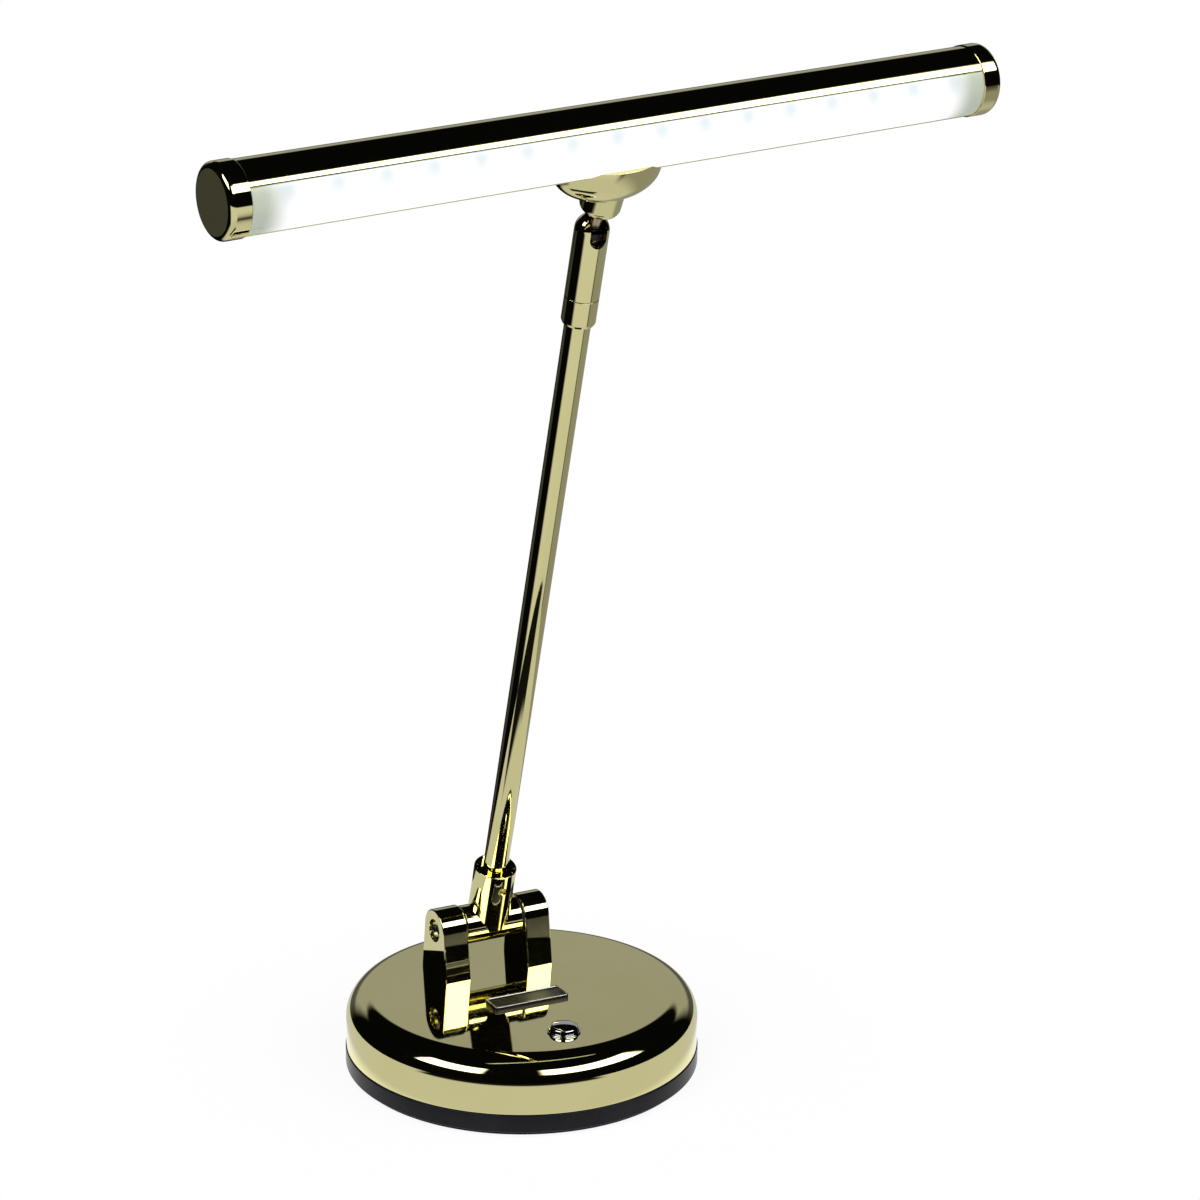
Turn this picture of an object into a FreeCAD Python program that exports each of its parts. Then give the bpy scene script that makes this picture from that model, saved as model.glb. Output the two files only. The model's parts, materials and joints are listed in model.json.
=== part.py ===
import FreeCAD, Part
import math
import os
import re
import Sketcher

# Piano lamp: a weighted round base, a two-cheek hinge, a round arm, a slotted ball joint
# and a horizontal light bar. Millimetres, +Z up, origin at the middle of the foot's underside,
# hinge axis along X, front of the lamp towards -Y.

doc = FreeCAD.newDocument("piano_lamp")

SIZES = {
    # base
    "base_radius": 65.0,
    "foot_radius": 63.4,
    "foot_height": 1.6,
    "foot_bevel": 0.6,
    "tray_proud": 0.3,
    "tray_height": 6.8,
    "tray_floor": 2.0,
    "tray_lip_height": 1.2,
    "tray_lip_wall": 1.8,
    "shell_height": 20.3,
    "shell_top": 2.2,
    "shell_wall": 2.0,
    "shell_roll": 9.5,
    "weight_radius": 59.5,
    "weight_height": 5.8,
    "fit_gap": 0.15,
    "post_radius": 4.0,
    "post_ring": 52.0,
    "post_count": 3,
    "post_bearing": 60.0,
    "screw_radius": 1.5,
    "screw_hole": 1.6,
    "screw_head": 2.8,
    "screw_head_hole": 3.0,
    "screw_head_height": 1.4,
    "screw_depth": 9.0,
    "thread_hole": 1.5,
    # hinge
    "hinge_side": -1.2,
    "hinge_back": 26.2,
    "hinge_above": 17.8,
    "cheek_round": 8.0,
    "cheek_foot": 10.3,
    "cheek_thick": 10.1,
    "cheek_gap": 24.0,
    "cheek_screw_span": 10.0,
    "pin_radius": 3.0,
    "running_gap": 0.05,
    "pin_head": 4.2,
    "pin_head_height": 3.4,
    "pin_head_sink": 1.6,
    "pin_key": 1.9,
    "pin_key_depth": 2.0,
    "pin_reach": 6.0,
    "washer_thick": 0.5,
    "washer_radius": 6.6,
    "lead_hole": 2.2,
    # button
    "button_front": 40.7,
    "button_side": -3.9,
    "button_radius": 5.3,
    "button_proud": 3.0,
    "button_edge": 1.2,
    "button_flange": 6.8,
    "button_flange_thick": 1.0,
    "button_stem": 2.2,
    "button_play": 0.2,
    "button_travel": 1.2,
    "bezel_width": 0.7,
    "bezel_height": 0.5,
    "bezel_gap": 0.25,
    # badge
    "badge_front": 10.1,
    "badge_side": -3.1,
    "badge_turn": -1.7,
    "badge_length": 29.8,
    "badge_depth": 9.4,
    "badge_thick": 1.5,
    "badge_rim": 0.8,
    "badge_sink": 0.4,
    # electrics in the base
    "board_length": 30.0,
    "board_depth": 20.0,
    "board_thick": 1.6,
    "board_drop": 8.0,
    "board_post": 2.6,
    "switch_side": 6.2,
    "switch_height": 3.4,
    "inlet_width": 9.0,
    "inlet_depth": 12.0,
    "inlet_tall": 9.0,
    "inlet_rise": 14.4,
    "inlet_nose": 4.0,
    "inlet_bore": 2.75,
    "inlet_pin": 1.0,
    "inlet_bore_depth": 9.5,
    # arm
    "lean": 15.7,
    "ball_reach": 286.8,
    "barrel_radius": 7.3,
    "stem_radius": 7.9,
    "stem_length": 25.0,
    "mouth_radius": 6.6,
    "mouth_depth": 2.4,
    "arm_radius": 4.6,
    "arm_bore": 3.2,
    "arm_seat": 9.0,
    "grub_radius": 1.7,
    "grub_height": 18.5,
    "grub_sink": 0.5,
    "grub_key": 0.9,
    "lead_radius": 1.3,
    # ball joint, measured down from the ball's centre
    "seam_drop": 24.6,
    "collar_drop": 33.7,
    "sleeve_radius": 6.0,
    "seam_gap": 0.15,
    "collar_bevel": 1.0,
    "collar_sink": 3.0,
    "spigot_height": 7.0,
    "ball_radius": 4.3,
    "stud_radius": 2.5,
    "slot_width": 6.2,
    "slot_below": 3.3,
    "seat_height": 5.0,
    "seat_below": 1.2,
    "plug_height": 4.0,
    "disc_count": 3,
    "disc_thick": 0.8,
    "disc_cone": 0.6,
    # light head
    "tilt": 13.1,
    "yaw": 5.3,
    "bar_lift": 40.6,
    "head_length": 298.0,
    "bar_radius": 12.1,
    "bar_wall": 1.2,
    "window_centre": 6.8,
    "window_half": 48.0,
    "diffuser_inset": 0.2,
    "diffuser_wall": 1.3,
    "diffuser_gap": 1.6,
    "cap_radius": 12.5,
    "cap_length": 7.8,
    "cap_round": 2.2,
    "cap_wall": 1.4,
    "cap_plug": 4.0,
    "neck_radius": 7.1,
    "neck_gap": 3.7,
    "neck_round": 3.0,
    "neck_spigot": 5.0,
    "neck_spigot_height": 2.4,
    "stud_collar": 3.6,
    "stud_collar_height": 1.5,
    "stud_length": 18.0,
    "saucer_radius": 17.3,
    "saucer_top": 11.9,
    "saucer_rim": 1.3,
    "saucer_depth": 4.0,
    "saucer_waist": 9.0,
    "saucer_screw_span": 23.0,
    "rail_offset": 3.0,
    "rail_width": 19.7,
    "rail_thick": 1.5,
    "board_strip_width": 8.0,
    "board_strip_thick": 1.0,
    "led_count": 15,
    "led_pitch": 17.1,
    "led_side": 3.5,
    "led_thick": 0.9,
}

sheet = doc.addObject("Spreadsheet::Sheet", "Sizes")
for row, (alias, number) in enumerate(SIZES.items(), start=1):
    sheet.set(f"A{row}", alias)
    sheet.set(f"B{row}", str(number))
    sheet.setAlias(f"B{row}", alias)
doc.recompute()

FUNCTIONS = {"sin", "cos", "tan", "sqrt", "atan"}


def bound(rule):
    """Turns a rule in plain size names into an expression on the sheet."""
    def name(match):
        word = match.group(0)
        return word if word in FUNCTIONS else f"Sizes.{word}"
    return re.sub(r"[a-z][a-z_]*", name, str(rule))


def value(rule):
    """The number that a rule gives now."""
    return float(sheet.evalExpression(bound(rule).replace("Sizes.", "")))


def bind(thing, field, rule):
    """Ties one property of an object to a rule."""
    thing.setExpression(field, bound(rule))


# Frames: the base stands in the lamp's own frame, the arm leans from the hinge, the stud is
# tilted further at the ball, and the head is turned about the stud's line.
TRAY_TOP = "foot_height + tray_height"
TOP = f"{TRAY_TOP} + shell_height"
HINGE_Z = f"{TOP} + hinge_above"
BALL = "ball_reach"
SEAM = "ball_reach - seam_drop"
CHEEK_OUT = "cheek_gap / 2 + cheek_thick"
BAR_LENGTH = "head_length - 2 * cap_length"


def spot(x_rule=0, y_rule=0, z_rule=0, axis=(0, 0, 1), turn_rule=0):
    """A placement whose position and turn come from rules."""
    place = FreeCAD.Vector(value(x_rule), value(y_rule), value(z_rule))
    return FreeCAD.Placement(place, FreeCAD.Rotation(FreeCAD.Vector(*axis), value(turn_rule)))


BASE = FreeCAD.Placement()
HINGE = spot("hinge_side", "hinge_back", HINGE_Z)
ARM = spot("hinge_side", "hinge_back", HINGE_Z, (1, 0, 0), "lean")
STUD = ARM.multiply(spot(0, 0, "ball_reach", (1, 0, 0), "tilt"))
HEAD = STUD.multiply(spot(0, 0, "bar_lift", (0, 0, 1), "yaw"))
subparts = []


def keep(thing, label, frame):
    """Names a finished sub-part and stands it in its frame."""
    thing.Label = label
    thing.Placement = frame.multiply(thing.Placement)
    subparts.append(thing)
    return thing


def plane(body, role):
    """One of a body's own origin planes."""
    return next(item for item in body.Origin.OriginFeatures if item.Role == role)


def sketch_on(body, role, title):
    sketch = body.newObject("Sketcher::SketchObject", title)
    sketch.AttachmentSupport = [(plane(body, role), "")]
    sketch.MapMode = "FlatFace"
    return sketch


def outline(sketch, corners):
    """A closed outline of straight edges, each corner tied to its rules across and up."""
    points = [FreeCAD.Vector(value(across), value(up), 0) for across, up in corners]
    count = len(points)
    for index in range(count):
        sketch.addGeometry(Part.LineSegment(points[index], points[(index + 1) % count]), False)
    for index in range(count):
        follower = (index + 1) % count
        sketch.addConstraint(Sketcher.Constraint("Coincident", index, 2, follower, 1))
    for index, (across, up) in enumerate(corners):
        for kind, rule, axis in (("DistanceX", across, -2), ("DistanceY", up, -1)):
            number = value(rule)
            if abs(number) < 1e-9:
                sketch.addConstraint(Sketcher.Constraint("PointOnObject", index, 1, axis))
                continue
            tie = sketch.addConstraint(Sketcher.Constraint(kind, -1, 1, index, 1, number))
            sketch.setExpression(f"Constraints[{tie}]", bound(rule))


def circle_in(sketch, across, up, radius):
    """A circle tied to its rules."""
    centre = FreeCAD.Vector(value(across), value(up), 0)
    index = sketch.addGeometry(Part.Circle(centre, FreeCAD.Vector(0, 0, 1), value(radius)), False)
    tie = sketch.addConstraint(Sketcher.Constraint("Radius", index, value(radius)))
    sketch.setExpression(f"Constraints[{tie}]", bound(radius))
    for kind, rule, axis in (("DistanceX", across, -2), ("DistanceY", up, -1)):
        number = value(rule)
        if abs(number) < 1e-9:
            sketch.addConstraint(Sketcher.Constraint("PointOnObject", index, 3, axis))
            continue
        tie = sketch.addConstraint(Sketcher.Constraint(kind, -1, 1, index, 3, number))
        sketch.setExpression(f"Constraints[{tie}]", bound(rule))


def turned(name, corners):
    """A body turned about its own Z from a half section of radius and height."""
    body = doc.addObject("PartDesign::Body", name)
    sketch = sketch_on(body, "XZ_Plane", f"{name}_section")
    outline(sketch, corners)
    turn = body.newObject("PartDesign::Revolution", f"{name}_turn")
    turn.Profile = sketch
    turn.ReferenceAxis = (sketch, ["V_Axis"])
    turn.Angle = 360
    doc.recompute()
    return body


def edges_where(shape, test):
    return [f"Edge{index}" for index, edge in enumerate(shape.Edges, start=1) if test(edge)]


def ring_test(radius_rule, height_rule):
    """Finds the round edges of one radius at one height."""
    radius = value(radius_rule)
    height = value(height_rule)

    def test(edge):
        if not isinstance(edge.Curve, Part.Circle):
            return False
        middle = edge.Curve.Center
        return abs(edge.Curve.Radius - radius) < 1e-4 and abs(middle.z - height) < 1e-4
    return test


def rounded(body, test, radius_rule, kind="PartDesign::Fillet"):
    """Rounds or bevels the edges of the body's last feature that pass the test."""
    base = body.Tip
    feature = body.newObject(kind, f"{body.Name}_edge")
    feature.Base = (base, edges_where(base.Shape, test))
    field = "Radius" if kind.endswith("Fillet") else "Size"
    setattr(feature, field, value(radius_rule))
    bind(feature, field, radius_rule)
    doc.recompute()
    return feature


def drilled(body, role, circles, depth_rule=None, both=False):
    """A pocket of round holes through the body, or to a depth from the plane."""
    before = body.Shape.Volume
    sketch = sketch_on(body, role, f"{body.Name}_holes")
    for across, up, radius in circles:
        circle_in(sketch, across, up, radius)
    pocket = body.newObject("PartDesign::Pocket", f"{body.Name}_drilled")
    pocket.Profile = sketch
    if depth_rule is None:
        pocket.Type = "ThroughAll"
        pocket.Midplane = True
    else:
        pocket.Length = value(depth_rule)
        bind(pocket, "Length", depth_rule)
        pocket.Midplane = both
    doc.recompute()
    if body.Shape.Volume > before - 1e-6:
        raise RuntimeError(f"{body.Name}: the holes miss the piece")
    return pocket


def cylinder(radius, height, place=None, angle=None):
    rod = doc.addObject("Part::Cylinder", "round")
    bind(rod, "Radius", radius)
    bind(rod, "Height", height)
    if angle is not None:
        bind(rod, "Angle", angle)
    if place is not None:
        rod.Placement = place
    return rod


def block(length, width, height, place=None):
    """A box centred on its own X and Y, standing on its Z."""
    box = doc.addObject("Part::Box", "block")
    bind(box, "Length", length)
    bind(box, "Width", width)
    bind(box, "Height", height)
    centre = FreeCAD.Placement(spot(f"-({length}) / 2", f"-({width}) / 2").Base, FreeCAD.Rotation())
    box.Placement = (place or FreeCAD.Placement()).multiply(centre)
    return box


def cone(lower, upper, height, place=None):
    taper = doc.addObject("Part::Cone", "taper")
    bind(taper, "Radius1", lower)
    bind(taper, "Radius2", upper)
    bind(taper, "Height", height)
    if place is not None:
        taper.Placement = place
    return taper


def joined(pieces):
    together = doc.addObject("Part::MultiFuse", "joined")
    together.Shapes = pieces
    together.Refine = True
    return together


def less(base, tools):
    tool = tools[0] if len(tools) == 1 else joined(tools)
    result = doc.addObject("Part::Cut", "less")
    result.Base = base
    result.Tool = tool
    result.Refine = True
    return result


def group(pieces):
    """Several separate solids kept as one node."""
    together = doc.addObject("Part::Compound", "group")
    together.Links = pieces
    return together


def around(count_rule, ring_rule, bearing_rule):
    """Centres evenly spaced on a ring, as rules across and up."""
    count = int(value(count_rule))
    return [(f"{ring_rule} * cos({bearing_rule} + {index} * 360 / {count_rule})",
             f"{ring_rule} * sin({bearing_rule} + {index} * 360 / {count_rule})")
            for index in range(count)]


POSTS = around("post_count", "post_ring", "post_bearing")


# Base
def make_foot_pad():
    body = turned("foot_pad", [(0, 0), ("foot_radius", 0), ("foot_radius", "foot_height"),
                               (0, "foot_height")])
    rounded(body, ring_test("foot_radius", 0), "foot_bevel", "PartDesign::Chamfer")
    return keep(body, "foot_pad", BASE)


def make_base_tray():
    """The dark moulded ring under the shell: floor, wall and the lip that centres the shell."""
    outer = "base_radius + tray_proud"
    lip = "base_radius - shell_wall - fit_gap"
    body = turned("base_tray", [
        (0, "foot_height"), (outer, "foot_height"), (outer, TRAY_TOP), (lip, TRAY_TOP),
        (lip, f"{TRAY_TOP} + tray_lip_height"),
        (f"{lip} - tray_lip_wall", f"{TRAY_TOP} + tray_lip_height"),
        (f"{lip} - tray_lip_wall", "foot_height + tray_floor"), (0, "foot_height + tray_floor")])
    drilled(body, "XY_Plane", [(x, y, "screw_hole") for x, y in POSTS])
    drilled(body, "XY_Plane", [(x, y, "screw_head_hole") for x, y in POSTS],
            "2 * (foot_height + screw_head_height)", True)
    return keep(body, "base_tray", BASE)


def make_base_weight():
    low = "foot_height + tray_floor"
    body = turned("base_weight", [(0, low), ("weight_radius", low),
                                  ("weight_radius", f"{low} + weight_height"),
                                  (0, f"{low} + weight_height")])
    drilled(body, "XY_Plane", [(x, y, "screw_hole") for x, y in POSTS])
    return keep(body, "base_weight", BASE)


def make_tray_screws():
    screws = []
    for x, y in POSTS:
        low = "foot_height"
        head = cylinder("screw_head", "screw_head_height", spot(x, y, low))
        shank = cylinder("screw_radius", "screw_depth + screw_head_height", spot(x, y, low))
        screws.append(joined([head, shank]))
    return keep(group(screws), "tray_screws", BASE)


CHEEK_SCREWS = [(f"hinge_side + {side} * (cheek_gap + cheek_thick) / 2",
                 f"hinge_back + {end} * cheek_screw_span / 2")
                for side in (-1, 1) for end in (-1, 1)]
BOARD_POSTS = [(f"button_side + {side} * (board_length / 2 - board_post)", "-button_front")
               for side in (-1, 1)]
BOARD_TOP = f"{TOP} - shell_top - board_drop"


def make_base_shell():
    """The polished cup with its rolled rim, hollow inside, with posts for the screws below."""
    inner = "base_radius - shell_wall"
    under = f"{TOP} - shell_top"
    body = turned("shell_blank", [
        (0, under), (inner, under), (inner, TRAY_TOP), ("base_radius", TRAY_TOP),
        ("base_radius", TOP), (0, TOP)])
    rounded(body, ring_test("base_radius", TOP), "shell_roll")
    rounded(body, ring_test(inner, under), "shell_roll - shell_wall", "PartDesign::Chamfer")
    foot = "foot_height + tray_floor + weight_height + fit_gap"
    posts = [cylinder("post_radius", f"{under} - ({foot}) + 1", spot(x, y, foot)) for x, y in POSTS]
    holes = [cylinder("thread_hole", "screw_depth + 1", spot(x, y, "foot_height + tray_floor"))
             for x, y in POSTS]
    for x, y in BOARD_POSTS:
        posts.append(cylinder("board_post", "board_drop + 1", spot(x, y, BOARD_TOP)))
        holes.append(cylinder("thread_hole / 2", "board_drop", spot(x, y, BOARD_TOP)))
    for x, y in CHEEK_SCREWS:
        holes.append(cylinder("screw_hole", "2 * shell_top", spot(x, y, f"{TOP} - 1.5 * shell_top")))
    through = spot("button_side", "-button_front", f"{TOP} - 2 * shell_top")
    holes.append(cylinder("button_radius + bezel_gap", "4 * shell_top", through))
    lead_way = spot("hinge_side", "hinge_back", f"{TOP} - 2 * shell_top")
    holes.append(cylinder("lead_hole", "4 * shell_top", lead_way))
    back = spot(0, "base_radius - 2 * shell_wall", "inlet_rise", (1, 0, 0), -90)
    holes.append(cylinder("inlet_nose + fit_gap", "4 * shell_wall", back))
    shell = less(joined([body] + posts), holes)
    return keep(shell, "base_shell", BASE)


def make_badge():
    """A plain plate with a raised rim: its face carries nothing."""
    place = spot("badge_side", "-badge_front", TOP, (0, 0, 1), "badge_turn")
    plate = block("badge_length", "badge_depth", "badge_thick", place)
    sink = place.multiply(spot(0, 0, "badge_thick - badge_sink"))
    field = block("badge_length - 2 * badge_rim", "badge_depth - 2 * badge_rim", "badge_thick", sink)
    return keep(less(plate, [field]), "badge_plate", BASE)


def make_bezel():
    inner = "button_radius + bezel_gap"
    body = turned("button_bezel", [
        (inner, 0), (f"{inner} + bezel_width", 0), (f"{inner} + bezel_width", "bezel_height"),
        (inner, "bezel_height")])
    rounded(body, ring_test(f"{inner} + bezel_width", "bezel_height"), "bezel_height / 2",
            "PartDesign::Chamfer")
    body.Placement = spot("button_side", "-button_front", TOP)
    return keep(body, "button_bezel", BASE)


def make_button():
    """The domed cap with its edge, the flange that holds it in, and the stem to the switch."""
    flange = "-shell_top - button_play"
    reach_down = "board_drop - switch_height - button_travel - 2 * button_play"
    body = turned("push_button", [
        (0, f"-shell_top - ({reach_down})"), ("button_stem", f"-shell_top - ({reach_down})"),
        ("button_stem", f"{flange} - button_flange_thick"),
        ("button_flange", f"{flange} - button_flange_thick"), ("button_flange", flange),
        ("button_radius", flange), ("button_radius", "button_proud"), (0, "button_proud")])
    rounded(body, ring_test("button_radius", "button_proud"), "button_edge")
    body.Placement = spot("button_side", "-button_front", TOP)
    return keep(body, "push_button", BASE)


def make_control_board():
    place = spot("button_side", "-button_front", f"{BOARD_TOP} - board_thick")
    board = block("board_length", "board_depth", "board_thick", place)
    holes = [cylinder("screw_hole", "3 * board_thick", spot(x, y, f"{BOARD_TOP} - 2 * board_thick"))
             for x, y in BOARD_POSTS]
    return keep(less(board, holes), "control_board", BASE)


def make_board_screws():
    screws = []
    for x, y in BOARD_POSTS:
        low = f"{BOARD_TOP} - board_thick - screw_head_height"
        head = cylinder("board_post", "screw_head_height", spot(x, y, low))
        shank = cylinder("thread_hole / 2", "screw_head_height + board_drop / 2", spot(x, y, low))
        screws.append(joined([head, shank]))
    return keep(group(screws), "board_screws", BASE)


def make_switch():
    place = spot("button_side", "-button_front", BOARD_TOP)
    body = block("switch_side", "switch_side", "switch_height - button_play", place)
    tip = cylinder("button_stem - fit_gap", "switch_height", place)
    return keep(joined([body, tip]), "tact_switch", BASE)


def make_inlet():
    """The socket for the supply: a moulded body, a round nose in the shell and a centre pin."""
    rise = "inlet_rise"
    wall = "base_radius - shell_wall - inlet_nose * inlet_nose / base_radius"
    place = spot(0, f"{wall} - inlet_depth / 2", f"{rise} - inlet_tall / 2")
    body = block("inlet_width", "inlet_depth", "inlet_tall", place)
    start = spot(0, f"{wall} - 1", rise, (1, 0, 0), -90)
    nose = cylinder("inlet_nose", "shell_wall + 1", start)
    mouth = f"{wall} + shell_wall"
    bore = cylinder("inlet_bore", "inlet_bore_depth + 1",
                    spot(0, f"{mouth} - inlet_bore_depth", rise, (1, 0, 0), -90))
    pin = cylinder("inlet_pin", "inlet_bore_depth", spot(0, f"{mouth} - inlet_bore_depth - 1", rise,
                                                         (1, 0, 0), -90))
    return keep(joined([less(joined([body, nose]), [bore]), pin]), "power_inlet", BASE)


# Hinge
def make_cheek(side, label):
    """A cheek with a round head on the hinge line and flanks that spread towards its foot."""
    foot_z = f"-({HINGE_Z}) + {TOP}"
    body = doc.addObject("PartDesign::Body", f"{label}_blank")
    sketch = sketch_on(body, "YZ_Plane", f"{label}_outline")
    round_head = value("cheek_round")
    foot = value("cheek_foot")
    drop = value("hinge_above")
    span = math.hypot(drop, foot)
    tilt = math.atan2(drop, foot) - math.acos(round_head / span)
    touch = FreeCAD.Vector(round_head * math.cos(tilt), -round_head * math.sin(-tilt), 0)
    left = FreeCAD.Vector(-touch.x, touch.y, 0)
    crown = Part.Arc(touch, FreeCAD.Vector(0, round_head, 0), left)
    corners = [FreeCAD.Vector(-foot, -drop, 0), FreeCAD.Vector(foot, -drop, 0)]
    sketch.addGeometry(crown, False)
    sketch.addGeometry(Part.LineSegment(left, corners[0]), False)
    sketch.addGeometry(Part.LineSegment(corners[0], corners[1]), False)
    sketch.addGeometry(Part.LineSegment(corners[1], touch), False)
    sketch.addConstraint(Sketcher.Constraint("Tangent", 0, 2, 1, 1))
    sketch.addConstraint(Sketcher.Constraint("Coincident", 1, 2, 2, 1))
    sketch.addConstraint(Sketcher.Constraint("Coincident", 2, 2, 3, 1))
    sketch.addConstraint(Sketcher.Constraint("Tangent", 3, 2, 0, 1))
    sketch.addConstraint(Sketcher.Constraint("Coincident", 0, 3, -1, 1))
    for kind, index, end, rule in (("DistanceX", 2, 1, "-cheek_foot"), ("DistanceX", 2, 2, "cheek_foot"),
                                   ("DistanceY", 2, 1, foot_z), ("DistanceY", 2, 2, foot_z)):
        tie = sketch.addConstraint(Sketcher.Constraint(kind, -1, 1, index, end, value(rule)))
        sketch.setExpression(f"Constraints[{tie}]", bound(rule))
    tie = sketch.addConstraint(Sketcher.Constraint("Radius", 0, round_head))
    sketch.setExpression(f"Constraints[{tie}]", bound("cheek_round"))
    pad = body.newObject("PartDesign::Pad", f"{label}_thickness")
    pad.Profile = sketch
    pad.Length = value("cheek_thick")
    bind(pad, "Length", "cheek_thick")
    doc.recompute()
    drilled(body, "YZ_Plane", [(0, 0, "pin_radius + running_gap")])
    turned_out = 1 if side > 0 else 0
    body.Placement = spot("cheek_gap / 2" if turned_out else f"-({CHEEK_OUT})", 0, 0)
    sink = spot(f"{CHEEK_OUT} - pin_head_height - pin_head_sink" if turned_out else f"-({CHEEK_OUT}) - 1",
                0, 0, (0, 1, 0), 90)
    seat = cylinder("pin_head + running_gap", "pin_head_height + pin_head_sink + 1", sink)
    holes = [seat]
    for x, y in CHEEK_SCREWS:
        if value(x) * side > 0:
            holes.append(cylinder("thread_hole", "screw_depth + 1",
                                  spot(f"{x} - hinge_side", f"{y} - hinge_back", f"{foot_z} - 1")))
    return keep(less(body, holes), label, HINGE)


def make_cheek_screws():
    screws = []
    for x, y in CHEEK_SCREWS:
        low = f"{TOP} - shell_top - screw_head_height"
        head = cylinder("screw_head", "screw_head_height", spot(x, y, low))
        shank = cylinder("thread_hole", "screw_head_height + shell_top + screw_depth - 1", spot(x, y, low))
        screws.append(joined([head, shank]))
    return keep(group(screws), "cheek_screws", BASE)


def make_pivot_screw(side, label):
    """A socket screw let into the cheek, whose shank is the hinge pin of the arm's barrel."""
    sweep = (0, 1, 0), 90 * side
    seat = f"{side} * ({CHEEK_OUT} - pin_head_sink - pin_head_height)"
    head = cylinder("pin_head", "pin_head_height", spot(seat, 0, 0, *sweep))
    length = "cheek_thick - pin_head_sink - pin_head_height + pin_reach"
    shank = cylinder("pin_radius", f"{length} + 1", spot(f"{seat} + {side}", 0, 0, (0, 1, 0), -90 * side))
    key = doc.addObject("Part::Prism", "hexagon")
    key.Polygon = 6
    bind(key, "Circumradius", "pin_key")
    bind(key, "Height", "pin_key_depth + 1")
    key.Placement = spot(f"{side} * ({CHEEK_OUT} - pin_head_sink - pin_key_depth)", 0, 0, *sweep)
    return keep(less(joined([head, shank]), [key]), label, HINGE)


def make_washer(side, label):
    low = f"{side} * (cheek_gap / 2 - running_gap)"
    ring = cylinder("washer_radius", "washer_thick", spot(low, 0, 0, (0, 1, 0), -90 * side))
    hole = cylinder("pin_radius + running_gap", "3 * washer_thick",
                    spot(f"{low} + {side} * washer_thick", 0, 0, (0, 1, 0), -90 * side))
    return keep(less(ring, [hole]), label, HINGE)


# Arm
def make_arm_socket():
    """The T-shaped knuckle: a barrel between the cheeks and a stem that holds the arm."""
    half = "cheek_gap / 2 - washer_thick - 3 * running_gap"
    barrel = cylinder("barrel_radius", f"2 * ({half})", spot(f"-({half})", 0, 0, (0, 1, 0), 90))
    stem = cylinder("stem_radius", "stem_length")
    bores = [
        cylinder("pin_radius + running_gap", "pin_reach + 1", spot(half, 0, 0, (0, 1, 0), -90)),
        cylinder("pin_radius + running_gap", "pin_reach + 1", spot(f"-({half})", 0, 0, (0, 1, 0), 90)),
        cylinder("arm_radius + running_gap", "stem_length", spot(0, 0, "arm_seat")),
        cylinder("mouth_radius", "mouth_depth + 1", spot(0, 0, "stem_length - mouth_depth")),
        cone("mouth_radius", "stem_radius", "stem_radius - mouth_radius",
             spot(0, 0, "stem_length - (stem_radius - mouth_radius) / 2")),
        cylinder("lead_hole", "2 * stem_radius", spot(0, 0, "-stem_radius")),
        cylinder("grub_radius + running_gap", "2 * stem_radius", spot(0, 0, "grub_height", (1, 0, 0), 90)),
    ]
    return keep(less(joined([barrel, stem]), bores), "arm_socket", ARM)


def make_grub_screw():
    start = "arm_radius + running_gap"
    place = spot(0, f"-({start})", "grub_height", (1, 0, 0), 90)
    length = f"stem_radius - ({start}) - grub_sink"
    screw = cylinder("grub_radius", length, place)
    key = doc.addObject("Part::Prism", "hexagon")
    key.Polygon = 6
    bind(key, "Circumradius", "grub_key")
    bind(key, "Height", "stem_radius")
    key.Placement = spot(0, f"-({start}) - ({length}) / 2", "grub_height", (1, 0, 0), 90)
    return keep(less(screw, [key]), "socket_set_screw", ARM)


COLLAR_LOW = "ball_reach - collar_drop"


def make_arm_tube():
    tube = cylinder("arm_radius", f"{COLLAR_LOW} + collar_sink - arm_seat - 2 * running_gap",
                    spot(0, 0, "arm_seat + running_gap"))
    bore = cylinder("arm_bore", "ball_reach")
    return keep(less(tube, [bore]), "arm_tube", ARM)


def make_collar():
    """The turned collar on the arm's end, with the spigot that the sleeve turns on."""
    bore = "arm_radius + running_gap"
    body = turned("joint_collar", [
        (bore, COLLAR_LOW), ("sleeve_radius - collar_bevel / 2", COLLAR_LOW),
        ("sleeve_radius", f"{COLLAR_LOW} + collar_bevel"), ("sleeve_radius", SEAM),
        ("ball_radius", SEAM), ("ball_radius", f"{SEAM} + spigot_height"),
        ("lead_hole", f"{SEAM} + spigot_height"), ("lead_hole", f"{COLLAR_LOW} + collar_sink"),
        (bore, f"{COLLAR_LOW} + collar_sink")])
    return keep(body, "joint_collar", ARM)


def make_arm_lead():
    lead = cylinder("lead_radius", f"{SEAM} + spigot_height - arm_seat", spot(0, 0, "arm_seat"))
    return keep(lead, "arm_lead", ARM)


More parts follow.
